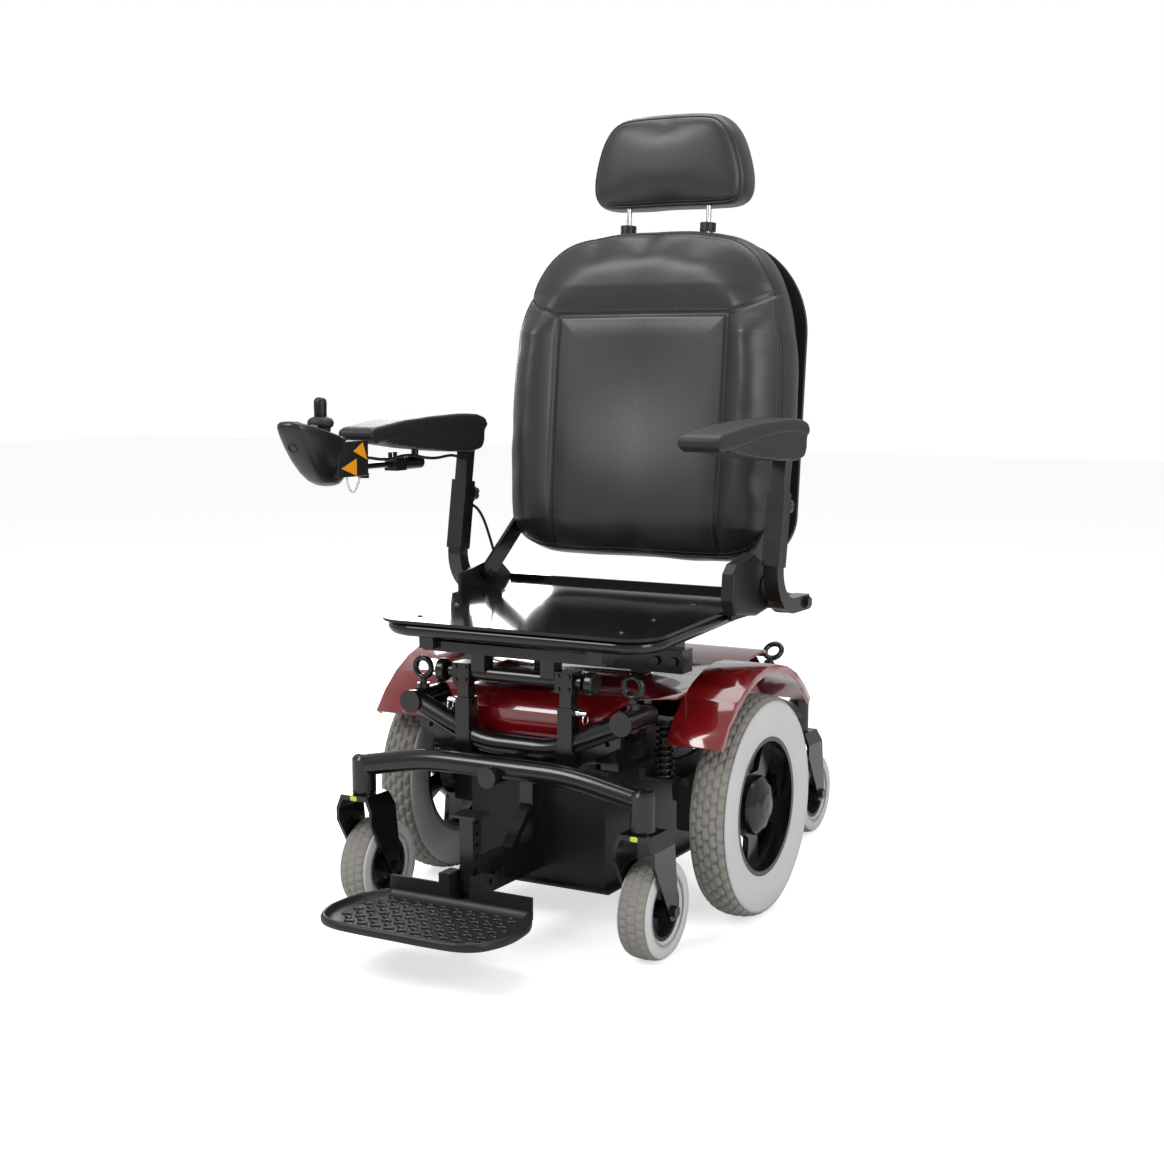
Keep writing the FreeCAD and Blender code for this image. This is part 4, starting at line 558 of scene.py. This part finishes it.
def tube_on(name, piece, line, radius, lift, closed=False):
    """Welt cord lying along an X-Z line on the front face."""
    spots = [p for p, _ in surface_points(piece, line, 0.008, lift)]
    data = bpy.data.curves.new(name, "CURVE")
    data.dimensions = "3D"
    data.bevel_depth = radius
    data.bevel_resolution = 3
    spline = data.splines.new("POLY")
    spline.points.add(len(spots) - 1)
    for point, place in zip(spline.points, spots):
        point.co = (*place, 1.0)
    spline.use_cyclic_u = closed
    tube = bpy.data.objects.new(name, data)
    SCENE.collection.objects.link(tube)
    graph = bpy.context.evaluated_depsgraph_get()
    mesh = bpy.data.meshes.new_from_object(tube.evaluated_get(graph))
    bpy.data.objects.remove(tube)
    welt = bpy.data.objects.new(name, mesh)
    mesh.polygons.foreach_set("use_smooth", [True] * len(mesh.polygons))
    SCENE.collection.objects.link(welt)
    return welt


BACK_OUTLINE = [(0, 0.548), (0.120, 0.547), (0.190, 0.552), (0.234, 0.574), (0.255, 0.626), (0.264, 0.720),
                (0.267, 0.810), (0.263, 0.900), (0.248, 0.980), (0.216, 1.050), (0.166, 1.092), (0.090,
                                                                                                 1.109),
                (0, 1.112)]
SEAM_X, SEAM_TOP_Z, SEAM_END = 0.161, 0.962, (0.248, 1.004)
UPPER_SEAM = [(-SEAM_END[0], SEAM_END[1]), (-0.205, 0.978), (-0.178, 0.966), (-SEAM_X, SEAM_TOP_Z), (0,
                                                                                                     0.964),
              (SEAM_X, SEAM_TOP_Z), (0.178, 0.966), (0.205, 0.978), SEAM_END]


def side_seam(side):
    return [(side * SEAM_X, SEAM_TOP_Z), (side * 0.162, 0.860), (side * 0.161, 0.740), (side * 0.158, 0.566)]


def back_relief(x, z):
    """Forward bulge of the side bolsters, the lower lumbar swell and the upper panel's crown."""
    u = np.clip((np.abs(x) - SEAM_X) / 0.104, 0, 1)
    top = np.clip((1.000 - z) / 0.07, 0, 1)
    low = np.clip((z - 0.556) / 0.05, 0, 1)
    bolster = 0.026 * np.sin(np.pi * np.minimum(u, 0.98)) ** 0.85 * top * low
    v = np.clip(1 - np.abs(x) / SEAM_X, 0, 1)
    lumbar = 0.008 * np.sqrt(v) * np.exp(-((z - 0.66) / 0.10) ** 2)
    lumbar = lumbar - 0.010 * v * np.exp(-((z - 0.86) / 0.12) ** 2)
    head = 0.006 * np.clip((z - SEAM_TOP_Z) / 0.05, 0, 1)
    return bolster + lumbar + head


def wrinkle(piece, amount, scale, low, high, across=(1.0, 1.0, 0.35)):
    """Shallow puckers, stronger between two heights."""
    places, turned = places_of(piece), normals_of(piece)
    for k, (place, way) in enumerate(zip(places, turned)):
        share = min(1.0, max(0.0, (place[2] - low) / (high - low)))
        sample = Vector((place[0] * across[0], place[1] * across[1], place[2] * across[2])) * scale
        places[k] += way * (amount * (0.25 + 0.75 * (1 - share)) * noise.noise(sample))
    move_to(piece, places)


def make_back():
    cushion = stuff(pillow("back_cover", BACK_OUTLINE, 0.140, 0.219, 0.030), 0.006, 0.024)
    places = places_of(cushion)
    places[:, 1] = np.minimum(places[:, 1], 0.2215)
    move_to(cushion, places)
    press_front(cushion, back_relief, [UPPER_SEAM, side_seam(1), side_seam(-1)], 0.0048, 0.0030)
    wrinkle(cushion, 0.0016, 16.0, 0.60, 0.78)
    rim = inset_ring(smooth_ring(BACK_OUTLINE, 220), 0.009)
    rim = np.vstack([rim, rim[:1]])
    inner = inset_ring(smooth_ring(BACK_OUTLINE, 220), 0.015)
    inner = np.vstack([inner, inner[:1]])
    welt = tube_on("back_welt", cushion, rim, 0.0016, 0.0, closed=True)
    shifted = [[(x, z + 0.0075) for x, z in UPPER_SEAM]]
    shifted += [[(x - s * 0.0075, z) for x, z in side_seam(s)] for s in (1, -1)]
    thread = stitches("back_stitching", cushion, [inner] + shifted)
    lean_back(cushion, welt, thread)
    finish_piece(cushion, "backrest", VINYL, "vinyl", "back_cushion")
    finish_piece(welt, "backrest", PIPING, "vinyl")
    finish_piece(thread, "backrest", THREAD, "vinyl")


make_back()

HEAD_OUTLINE = [(0, 1.144), (0.080, 1.143), (0.124, 1.146), (0.143, 1.160), (0.148, 1.188), (0.141, 1.228),
                (0.127, 1.266), (0.106, 1.292), (0.078, 1.303), (0, 1.306)]


def headrest_dish(x, z):
    """Depth of the shallow hollow for the head."""
    return 0.004 * np.cos(np.clip(x / 0.14, -1, 1) * np.pi / 2)


def make_headrest():
    pad = stuff(pillow("headrest_cover", HEAD_OUTLINE, 0.248, 0.326, 0.026), 0.0045, 0.012)
    rim = inset_ring(smooth_ring(HEAD_OUTLINE, 160), 0.008)
    rim = np.vstack([rim, rim[:1]])
    press_front(pad, headrest_dish, [[tuple(p) for p in rim]], 0.0014, 0.0022, soft=0.006)
    wrinkle(pad, 0.0010, 22.0, 1.15, 1.22)
    welt = tube_on("headrest_welt", pad, rim, 0.0017, 0.0002, closed=True)
    inner = inset_ring(smooth_ring(HEAD_OUTLINE, 160), 0.0125)
    thread = stitches("headrest_stitching", pad, [np.vstack([inner, inner[:1]])], radius=0.00045)
    finish_piece(pad, "headrest", VINYL, "vinyl", "headrest_pad")
    finish_piece(welt, "headrest", PIPING, "vinyl")
    finish_piece(thread, "headrest", THREAD, "vinyl")


make_headrest()


# ---- CAD nodes that keep their shape ------------------------------------------------------
def islands(piece):
    """Groups a mesh's faces into its separate solids.
    Returns one group number per face and each group's box."""
    places = places_of(piece)
    keys, parent = {}, []
    name_of = []
    for place in places:
        key = tuple(np.round(place * 20000).astype(int))
        if key not in keys:
            keys[key] = len(parent)
            parent.append(len(parent))
        name_of.append(keys[key])

    def root(i):
        while parent[i] != i:
            parent[i] = parent[parent[i]]
            i = parent[i]
        return i

    for face in piece.data.polygons:
        first = root(name_of[face.vertices[0]])
        for corner in face.vertices[1:]:
            other = root(name_of[corner])
            parent[other] = first
    group = [root(name_of[face.vertices[0]]) for face in piece.data.polygons]
    boxes = {}
    for face, g in zip(piece.data.polygons, group):
        low, high = boxes.setdefault(g, [np.full(3, 9.0), np.full(3, -9.0)])
        corners = places[list(face.vertices)]
        np.minimum(low, corners.min(0), out=low)
        np.maximum(high, corners.max(0), out=high)
    return group, boxes


def rolled_edges(name, node, width, segments=3, limit=35):
    """A CAD node with its sheet edges rolled over, as a moulding has."""
    piece = copy_node(name, node)
    mesh = bmesh.new()
    mesh.from_mesh(piece.data)
    bmesh.ops.remove_doubles(mesh, verts=mesh.verts, dist=1e-5)
    mesh.to_mesh(piece.data)
    mesh.free()
    edge = piece.modifiers.new("edge", "BEVEL")
    edge.width = width
    edge.segments = segments
    edge.limit_method = "ANGLE"
    edge.angle_limit = math.radians(limit)
    edge.harden_normals = True
    apply_modifiers(piece)
    piece.data.polygons.foreach_set("use_smooth", [True] * len(piece.data.polygons))
    return piece


def paint(node, *materials, choose=None):
    """Sets a node's materials; choose(low, high) picks one for each of its solids by its box."""
    piece = NODES[node] if isinstance(node, str) else node
    piece.data.materials.clear()
    for material in materials:
        piece.data.materials.append(material)
    if choose:
        group, boxes = islands(piece)
        picked = {g: choose(low, high) for g, (low, high) in boxes.items()}
        piece.data.polygons.foreach_set("material_index", [picked[g] for g in group])
        piece.data.update()


for node in NODES:
    paint(node, BLACK_PAINT)
for node in ("battery_box", "control_module", "batteries", "back_shell"):
    paint(node, MOULDED_BLACK)
for side, _ in SIDES:
    paint("drive_unit_" + side, WINDING)
    paint("arm_knob_" + side, MOULDED_BLACK)
    paint("freewheel_lever_" + side, MOULDED_BLACK)
    paint("release_pin_" + side, CHROME)
paint("seat_plate", SEAT_PAINT, CHROME, choose=lambda low, high: int((high - low)[0] < 0.03))
paint("recline_covers", MOULDED_BLACK, BLACK_PAINT, choose=lambda low, high: int((high - low)[0] < 0.012))
paint("headrest_posts", CHROME)
body_cover = rolled_edges("body_cover", "shroud", 0.0014)
finish_piece(body_cover, "chassis", RED_GLOSS, "red_plastic", "shroud")
paint(body_cover, RED_GLOSS, LENS, choose=lambda low, high: int((high - low).max() < 0.06))
paint("joystick_gimbal", MOULDED_BLACK)
paint("power_button", RED_KEY)
paint("horn_button", GREY_KEY)
paint("speed_rocker", GREY_KEY)


# ---- tyres --------------------------------------------------------------------------------
def knob_height(angle, across, count, rows, groove):
    """0 on top of a tread knob, up to 1 in the grooves; across runs -1..1 over the tread."""
    row = (across + 1) / 2 * rows
    index = np.floor(row)
    along = angle / (2 * math.pi) * count + 0.5 * (index % 2) + 0.18 * (row - index)
    gap_row = np.minimum(row - index, index + 1 - row) / rows * 2
    gap_along = np.minimum(along % 1, 1 - along % 1) * (2 * math.pi / count)
    return np.clip(1 - np.minimum(gap_row * 1.0, gap_along * 2.2) / groove, 0, 1) ** 0.7


def tyre(name, centre, radius, width, rim_radius, rim_width, steps, count, rows, depth, groove, body,
         slot_name,
         node):
    """Turned tyre with sidewalls, a shoulder line and tread knobs in staggered rows."""
    wall = [(rim_width, rim_radius - 0.002), (rim_width + 0.002, rim_radius + 0.004)]
    mid = rim_radius + 0.45 * (radius - rim_radius)
    wall += [(width * 0.46, rim_radius + 0.010), (width * 0.488, mid - 0.008), (width * 0.5, mid),
             (width * 0.497, mid + 0.010), (width * 0.478, mid + 0.020), (width * 0.470, mid + 0.0212),
             (width * 0.462, mid + 0.0222)]
    shoulder = radius - 0.13 * (radius - rim_radius)
    wall = [p for p in wall if p[1] < shoulder - 0.002] + [(width * 0.44, shoulder)]
    tread_half = width * 0.42
    across = np.linspace(1, -1, 45)
    crown = [(tread_half * u, radius - (radius - shoulder) * abs(u) ** 2.6 * 0.75) for u in across]
    profile = wall + crown + [(-x, r) for x, r in wall[::-1]]
    angles = np.linspace(0, 2 * math.pi, steps, endpoint=False)
    xs = np.array([p[0] for p in profile])[:, None] + 0 * angles
    rs = np.array([p[1] for p in profile])[:, None] + 0 * angles
    first = len(wall)
    cut = knob_height(angles[None, :], across[:, None] * 0.999, count, rows, groove)
    rs[first:first + len(across)] -= depth * cut
    points = np.stack([centre[0] + xs, centre[1] + rs * np.cos(angles), centre[2] + rs * np.sin(angles)], 2)
    piece = add_mesh(name, points.reshape(-1, 3), grid_faces(len(profile), steps, wrap_columns=True))
    tidy_normals(piece)
    finish_piece(piece, body, TYRE_GREY, slot_name, node)
    piece.data.materials.append(TREAD_GREY)
    on_tread = [int(first - 1 <= f.index // steps < first + len(across)) for f in piece.data.polygons]
    piece.data.polygons.foreach_set("material_index", on_tread)
    return piece


DRIVE_TRACK_HALF = 0.286
DRIVE_AXLE_Z = 0.1778
for side, sign in SIDES:
    tyre("tyre_drive_" + side, (sign * DRIVE_TRACK_HALF, 0, DRIVE_AXLE_Z), 0.1776, 0.066, 0.1135, 0.0262,
         576, 48, 5, 0.0050, 0.065,
         "drive_wheel_" + side, "grey_tyre", "drive_tyre_" + side)


def hub_without_tyre(node, name, centre, radius):
    """The wheel inside a moulded-on tyre, from the CAD wheel."""
    piece = copy_node(name, node)
    mesh = bmesh.new()
    mesh.from_mesh(piece.data)
    outer = [f for f in mesh.faces
             if math.hypot(f.calc_center_median().y - centre[1],
                           f.calc_center_median().z - centre[2]) > radius]
    bmesh.ops.delete(mesh, geom=outer, context="FACES")
    mesh.to_mesh(piece.data)
    mesh.free()
    return piece


for side, sign in SIDES:
    for end, x, y in (("front", 0.249, -0.3087), ("rear", 0.172, 0.475)):
        label = end + "_" + side
        axle = (sign * x, y + 0.035, 0.076)
        hub = hub_without_tyre("caster_" + label, "hub_" + label, axle, 0.0455)
        finish_piece(hub, "caster_wheel_" + label, MOULDED_BLACK, "black_plastic")
        tyre("tyre_" + label, axle, 0.0758, 0.050, 0.0455, 0.019, 320, 36, 3, 0.0024, 0.085,
             "caster_wheel_" + label, "grey_tyre", "caster_" + label)


# ---- armrest pads -------------------------------------------------------------------------
def softened_copy(name, node, voxel, rounds, finer=1):
    """A CAD solid with its edges melted to moulded curves."""
    piece = copy_node(name, node)
    piece.data.materials.clear()
    remesh = piece.modifiers.new("remesh", "REMESH")
    remesh.mode = "VOXEL"
    remesh.voxel_size = voxel
    remesh.use_smooth_shade = True
    smooth = piece.modifiers.new("smooth", "SMOOTH")
    smooth.iterations = rounds
    smooth.factor = 0.5
    subdivide = piece.modifiers.new("finer", "SUBSURF")
    subdivide.levels = finer
    subdivide.render_levels = finer
    return apply_modifiers(piece)


PAD_JOINT = [(-0.206, 0.752), (-0.150, 0.758), (-0.090, 0.766), (-0.020, 0.771), (0.040, 0.771), (0.096,
                                                                                                  0.764)]


def arm_pad(side):
    pad = softened_copy("arm_pad_skin_" + side, "arm_pad_" + side, 0.0030, 10)
    places, facing = places_of(pad), normals_of(pad)
    joint = np.interp(places[:, 1], [p[0] for p in PAD_JOINT], [p[1] for p in PAD_JOINT])
    away = np.abs(places[:, 2] - joint)
    flank = np.clip(np.abs(facing[:, 0]) * 1.4, 0, 1) * (places[:, 1] < 0.096)
    places -= facing * (flank * 0.0016 * np.exp(-(away / 0.0016) ** 2))[:, None]
    move_to(pad, places)
    pad.data.polygons.foreach_set("use_smooth", [True] * len(pad.data.polygons))
    finish_piece(pad, "arm_upper_" + side, FOAM_SKIN, "pad_foam", "arm_pad_" + side)


for side, _ in SIDES:
    arm_pad(side)


# ---- footplate ----------------------------------------------------------------------------
TRAY_OUTLINE = [(0, -0.5940), (0.060, -0.5937), (0.104, -0.5905), (0.131, -0.578), (0.146, -0.557),
                (0.156, -0.520), (0.152, -0.470), (0.139, -0.440), (0.127, -0.421), (0.118, -0.4140),
                (0.060, -0.4130), (0, -0.4130)]
TRAY_RINGS = [(0.010, 0.0772), (0.004, 0.0776), (0.001, 0.0792), (0, 0.0820), (0, 0.0868), (0.0015, 0.0900),
              (0.0040, 0.0912), (0.0065, 0.0904), (0.0085, 0.0878), (0.0110, 0.0842), (0.0150, 0.0825),
              (0.0210, 0.0820)]


def tread_lugs(outline):
    """Oval anti-slip lugs in staggered rows, each row leaning the other way."""
    points, faces = [], []
    edge = inset_ring(outline, 0.021)
    for row, y in enumerate(np.arange(-0.572, -0.428, 0.0135)):
        reach = max(abs(x) for x, v in edge if abs(v - y) < 0.012)
        for x in np.arange(-0.154 + 0.0115 * (row % 2), 0.155, 0.023):
            if abs(x) > reach - 0.010:
                continue
            lean = math.radians(22 if row % 2 else -22)
            first = len(points)
            for height, share in ((0.0, 1.0), (0.0018, 0.97), (0.0029, 0.82), (0.0033, 0.45)):
                for k in range(14):
                    turn = 2 * math.pi * k / 14
                    a, b = 0.0082 * share * math.cos(turn), 0.0036 * share * math.sin(turn)
                    points.append((x + a * math.cos(lean) - b * math.sin(lean),
                                   y + a * math.sin(lean) + b * math.cos(lean), 0.0819 + height))
            faces += [tuple(first + i for i in f) for f in grid_faces(4, 14, wrap_columns=True)]
            faces.append(tuple(first + 42 + k for k in range(14)))
    piece = add_mesh("footplate_lugs", points, faces)
    tidy_normals(piece)
    return piece


def footplate():
    outline = smooth_ring(TRAY_OUTLINE, 132)
    points = []
    for inset, z in TRAY_RINGS:
        points += [(x, y, z) for x, y in inset_ring(outline, inset)]
    faces = grid_faces(len(TRAY_RINGS), len(outline), wrap_columns=True)
    faces.append(tuple(range(len(outline))))
    faces.append(tuple(range(len(points) - 1, len(points) - len(outline) - 1, -1)))
    tray = add_mesh("footplate_tray", points, faces)
    tidy_normals(tray)
    back = copy_node("footplate_wall", "footplate")
    mesh = bmesh.new()
    mesh.from_mesh(back.data)
    ahead = [f for f in mesh.faces if f.calc_center_median().y < -0.4172 or
             (abs(f.calc_center_median().z - 0.0795) < 0.003 and f.calc_center_median().y < -0.4125)]
    bmesh.ops.delete(mesh, geom=ahead, context="FACES")
    mesh.to_mesh(back.data)
    mesh.free()
    finish_piece(tray, "footrest", MOULDED_BLACK, "black_plastic", "footplate")
    finish_piece(back, "footrest", MOULDED_BLACK, "black_plastic")
    finish_piece(tread_lugs(outline), "footrest", SATIN_BLACK, "black_plastic")


footplate()


# ---- reflective dots on the front forks ---------------------------------------------------
def fork_dots():
    graph = bpy.context.evaluated_depsgraph_get()
    for side, sign in SIDES:
        fork = NODES["fork_front_" + side]
        tree = BVHTree.FromObject(fork, graph)
        place = tree.ray_cast(Vector((sign * 0.249, -0.6, 0.1955)), Vector((0, 1, 0)))[0]
        if place is None:
            continue
        rows = [(0.0062, 0.0038, 0.0), (0.0062, 0.0038, 0.0006), (0.0052, 0.0030, 0.0010)]
        points = []
        for half_x, half_z, out in rows:
            for k in range(24):
                turn = 2 * math.pi * k / 24
                c, d = math.cos(turn), math.sin(turn)
                points.append((place.x + half_x * math.copysign(abs(c) ** 0.5, c), place.y - out - 0.0002,
                               place.z + half_z * math.copysign(abs(d) ** 0.5, d)))
        dot = add_mesh("fork_dot_" + side, points, grid_faces(3, 24, wrap_columns=True) + [tuple(range(48,
                                                                                                       72))])
        tidy_normals(dot)
        finish_piece(dot, "swivel_front_" + side, LABEL, "grey_tyre")


fork_dots()


# ---- joystick -----------------------------------------------------------------------------
STICK = (-0.305, -0.332, 0.75825)


def turned_shape(name, profile, base, axis, steps=48):
    """A profile of (radius, height) turned about an axis from a base point."""
    axis = Vector(axis).normalized()
    side = axis.orthogonal().normalized()
    other = axis.cross(side)
    base = Vector(base)
    points = []
    for radius, height in profile:
        for k in range(steps):
            turn = 2 * math.pi * k / steps
            points.append(base + axis * height + (side * math.cos(turn) + other * math.sin(turn)) * radius)
    piece = add_mesh(name, points, grid_faces(len(profile), steps, wrap_columns=True))
    tidy_normals(piece)
    return piece


CASE_RINGS = [(-0.404, 0.7875, -0.298, 0.7592, 0.026), (-0.415, 0.7896, -0.2925, 0.7577, 0.0315),
              (-0.4195, 0.7868, -0.2905, 0.7545, 0.0335), (-0.4200, 0.7820, -0.2900, 0.7500, 0.0340),
              (-0.4150, 0.7700, -0.2900, 0.7400, 0.0335), (-0.4030, 0.7500, -0.2900, 0.7250, 0.0320),
              (-0.3880, 0.7290, -0.2905, 0.7090, 0.0290), (-0.3710, 0.7100, -0.2925, 0.6970, 0.0245),
              (-0.3550, 0.6965, -0.2980, 0.6895, 0.0180), (-0.3400, 0.6890, -0.3070, 0.6862, 0.0100),
              (-0.3280, 0.6865, -0.3180, 0.6858, 0.0030)]


def case_shell():
    """Joystick housing: a tilted flat lid with a rounded nose and a full belly under it."""
    points, steps = [], 72
    for front, front_z, rear, rear_z, half in CASE_RINGS:
        for k in range(steps):
            turn = 2 * math.pi * k / steps
            c, d = math.cos(turn), math.sin(turn)
            u = math.copysign(abs(c) ** 0.72, c)
            v = math.copysign(abs(d) ** (0.80 if d < 0 else 0.55), d)
            t = (v + 1) / 2
            points.append((STICK[0] + half * u, front + (rear - front) * t, front_z + (rear_z - front_z) * t))
    faces = grid_faces(len(CASE_RINGS), steps, wrap_columns=True)
    faces.append(tuple(range(steps)))
    faces.append(tuple(range(len(points) - 1, len(points) - steps - 1, -1)))
    piece = add_mesh("joystick_case", points, faces)
    tidy_normals(piece)
    return piece


def joystick():
    shell = case_shell()
    finish_piece(shell, "pod", SATIN_BLACK, "black_plastic", "joystick_pod")
    pivot = copy_node("joystick_pivot", "joystick_pod")
    mesh = bmesh.new()
    mesh.from_mesh(pivot.data)
    inner = [f for f in mesh.faces if f.calc_center_median().x > -0.3308 or f.calc_center_median().y < -0.262]
    bmesh.ops.delete(mesh, geom=inner, context="FACES")
    mesh.to_mesh(pivot.data)
    mesh.free()
    finish_piece(pivot, "pod", MOULDED_BLACK, "black_plastic")
    box = block("joystick_box", (-0.3355, -0.331, 0.7002), (-0.2728, -0.251, 0.7565), 0.0022)
    finish_piece(box, "pod", MOULDED_BLACK, "black_plastic")
    collar = turned_shape("stick_collar", [(0.0225, 0.0), (0.0225, 0.0016), (0.0215, 0.0026), (0.0195,
                                                                                               0.0026),
                                           (0.0185, 0.0012), (0.0185, -0.003)],
                          (STICK[0], STICK[1] - 0.0026, STICK[2] + 0.0104), (0, 0.2588, 0.9659))
    finish_piece(collar, "pod", MOULDED_BLACK, "black_plastic")
    plug = turned_shape("charging_socket", [(0.0001, -0.004), (0.0060, -0.004), (0.0066, 0.0004), (0.0080,
                                                                                                   0.0010),
                                            (0.0086, -0.001), (0.0086, -0.006)],
                        (STICK[0], -0.4025, 0.7480), (0, -0.774, -0.633))
    finish_piece(plug, "pod", RUBBER, "black_plastic")
    points, faces = [], []
    for corners in (((-0.267, 0.7535), (-0.292, 0.7405), (-0.2555, 0.7255)),
                    ((-0.284, 0.7285), (-0.324, 0.7145), (-0.284, 0.7015))):
        first = len(points)
        points += [(-0.2730, y, z) for y, z in corners] + [(-0.2722, y, z) for y, z in corners]
        faces += [(first + 3, first + 4, first + 5)]
        faces += [(first + k, first + (k + 1) % 3, first + 3 + (k + 1) % 3, first + 3 + k) for k in range(3)]
    reflectors = add_mesh("pod_reflectors", points, faces, smooth=False)
    tidy_normals(reflectors)
    finish_piece(reflectors, "pod", AMBER, "black_plastic")
    x, y, z = STICK
    bellows = [(0.0125, 0.0125), (0.0152, 0.0140), (0.0160, 0.0152), (0.0150, 0.0164), (0.0163, 0.0178),
               (0.0154, 0.0190), (0.0178, 0.0206), (0.0198, 0.0230), (0.0207, 0.0262), (0.0203, 0.0295),
               (0.0186, 0.0325), (0.0158, 0.0348), (0.0122, 0.0362), (0.0098, 0.0370)]
    knob = [(0.0094, 0.0368), (0.0099, 0.0378), (0.0098, 0.0440), (0.0100, 0.0520), (0.0102, 0.0570),
            (0.0098, 0.0610), (0.0086, 0.0640), (0.0064, 0.0660), (0.0034, 0.0669), (0.0001, 0.0671)]
    boot = turned_shape("stick_boot", bellows, (x, y, z), (0, 0, 1))
    finish_piece(boot, "stick", RUBBER, "rubber", "joystick_stick")
    grip = turned_shape("stick_knob", knob, (x, y, z), (0, 0, 1))
    finish_piece(grip, "stick", MOULDED_BLACK, "rubber")


joystick()


def spring(side):
    """Coil copied from the CAD spring, attached to the chassis."""
    coil = copy_node("spring_coil_" + side, "spring_" + side)
    finish_piece(coil, "chassis", BLACK_PAINT, "black_steel", "spring_" + side)
    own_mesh(coil)


for side in ("left", "right"):
    spring(side)


# ---- cords --------------------------------------------------------------------------------
def add_cords():
    length, _ = spline_length(ROD_CABLE)
    lead = curve("joystick_lead", ROD_CABLE, 0.0025)
    finish_piece(lead, "arm_upper_right", RUBBER, "rubber", "rod_cable")
    length, _ = spline_length(ARM_CABLE)
    lower = curve("arm_lead", ARM_CABLE, 0.0025)
    finish_piece(lower, "armrest_right", RUBBER, "rubber", "arm_cable")


def add_chain():
    """Twisted-link safety chain; the links follow its smooth line and turn a quarter at each step."""
    length, places = spline_length(CHAIN)
    reach = np.concatenate([[0], np.cumsum([(b - a).length for a, b in zip(places, places[1:])])])
    flat = np.array([tuple(p) for p in places])
    count = int(length / 0.0047)
    points, faces = [], []
    for k in range(count):
        at = (k + 0.5) * length / count
        centre = Vector([np.interp(at, reach, flat[:, i]) for i in range(3)])
        ahead = Vector([np.interp(min(at + 0.002, length), reach, flat[:, i]) for i in range(3)])
        along = (ahead - centre).normalized() if (ahead - centre).length > 1e-6 else along
        side = along.cross(Vector((0, 0, 1)) if abs(along.z) < 0.9 else Vector((1, 0, 0))).normalized()
        flat_way = side if k % 2 else along.cross(side)
        up = along.cross(flat_way)
        first = len(points)
        for i in range(14):
            turn = 2 * math.pi * i / 14
            spine = along * (0.0032 * math.cos(turn)) + flat_way * (0.0018 * math.sin(turn))
            outward = (along * math.cos(turn) + flat_way * math.sin(turn)).normalized()
            for j in range(6):
                roll = 2 * math.pi * j / 6
                points.append(centre + spine + (outward * math.cos(roll) + up * math.sin(roll)) * 0.00055)
        faces += [tuple(first + c for c in f) for f in grid_faces(14, 6, wrap_rows=True, wrap_columns=True)]
    links = add_mesh("chain_links", points, faces)
    finish_piece(links, "slide_rod", CHROME, "chrome", "chain")


add_cords()
add_chain()


# ---- stage --------------------------------------------------------------------------------
def lamp(name, place, target, size, power):
    data = bpy.data.lights.new(name, "AREA")
    data.energy = power
    data.shape = "RECTANGLE"
    data.size, data.size_y = size
    light = bpy.data.objects.new(name, data)
    light.location = place
    light.rotation_euler = (Vector(target) - Vector(place)).to_track_quat("-Z", "Y").to_euler()
    SCENE.collection.objects.link(light)


def add_stage():
    floor = add_mesh("floor", [(-14, -14, 0), (14, -14, 0), (14, 14, 0), (-14, 14, 0)], [(0, 1, 2, 3)],
                     smooth=False)
    paper = bpy.data.materials.new("paper_floor")
    paper.use_nodes = True
    tree = paper.node_tree
    shader = tree.nodes["Principled BSDF"]
    shader.inputs["Base Color"].default_value = (0.82, 0.82, 0.82, 1)
    shader.inputs["Roughness"].default_value = 0.9
    shader.inputs["Emission Color"].default_value = (1, 1, 1, 1)
    path = tree.nodes.new("ShaderNodeLightPath")
    glow = tree.nodes.new("ShaderNodeMath")
    glow.operation = "MULTIPLY"
    glow.inputs[1].default_value = 0.62
    link(tree, (path.outputs["Is Camera Ray"], glow.inputs[0]), (glow.outputs[0],
                                                                 shader.inputs["Emission Strength"]))
    floor.data.materials.append(paper)
    world = bpy.data.worlds.new("studio")
    SCENE.world = world
    world.use_nodes = True
    tree = world.node_tree
    back = tree.nodes["Background"]
    back.inputs["Color"].default_value = (1, 1, 1, 1)
    path = tree.nodes.new("ShaderNodeLightPath")
    seen = tree.nodes.new("ShaderNodeMath")
    seen.operation = "MULTIPLY_ADD"
    seen.inputs[1].default_value = 0.62
    seen.inputs[2].default_value = 0.38
    shine = tree.nodes.new("ShaderNodeMath")
    shine.operation = "MULTIPLY_ADD"
    shine.inputs[1].default_value = 0.22
    link(tree, (path.outputs["Is Camera Ray"], seen.inputs[0]), (path.outputs["Is Glossy Ray"],
                                                                 shine.inputs[0]),
         (seen.outputs[0], shine.inputs[2]), (shine.outputs[0], back.inputs["Strength"]))
    lamp("key", (-1.6, -2.6, 2.9), (0, 0, 0.6), (1.6, 1.6), 75)
    lamp("fill", (2.8, -1.2, 1.6), (0, 0, 0.6), (1.2, 2.2), 38)
    lamp("top", (0, 0.6, 3.2), (0, 0, 0.5), (2.4, 2.0), 55)
    lamp("rim", (-1.8, 2.2, 1.8), (0, 0, 0.7), (0.8, 2.0), 40)
    SCENE.view_settings.view_transform = "Standard"


add_stage()
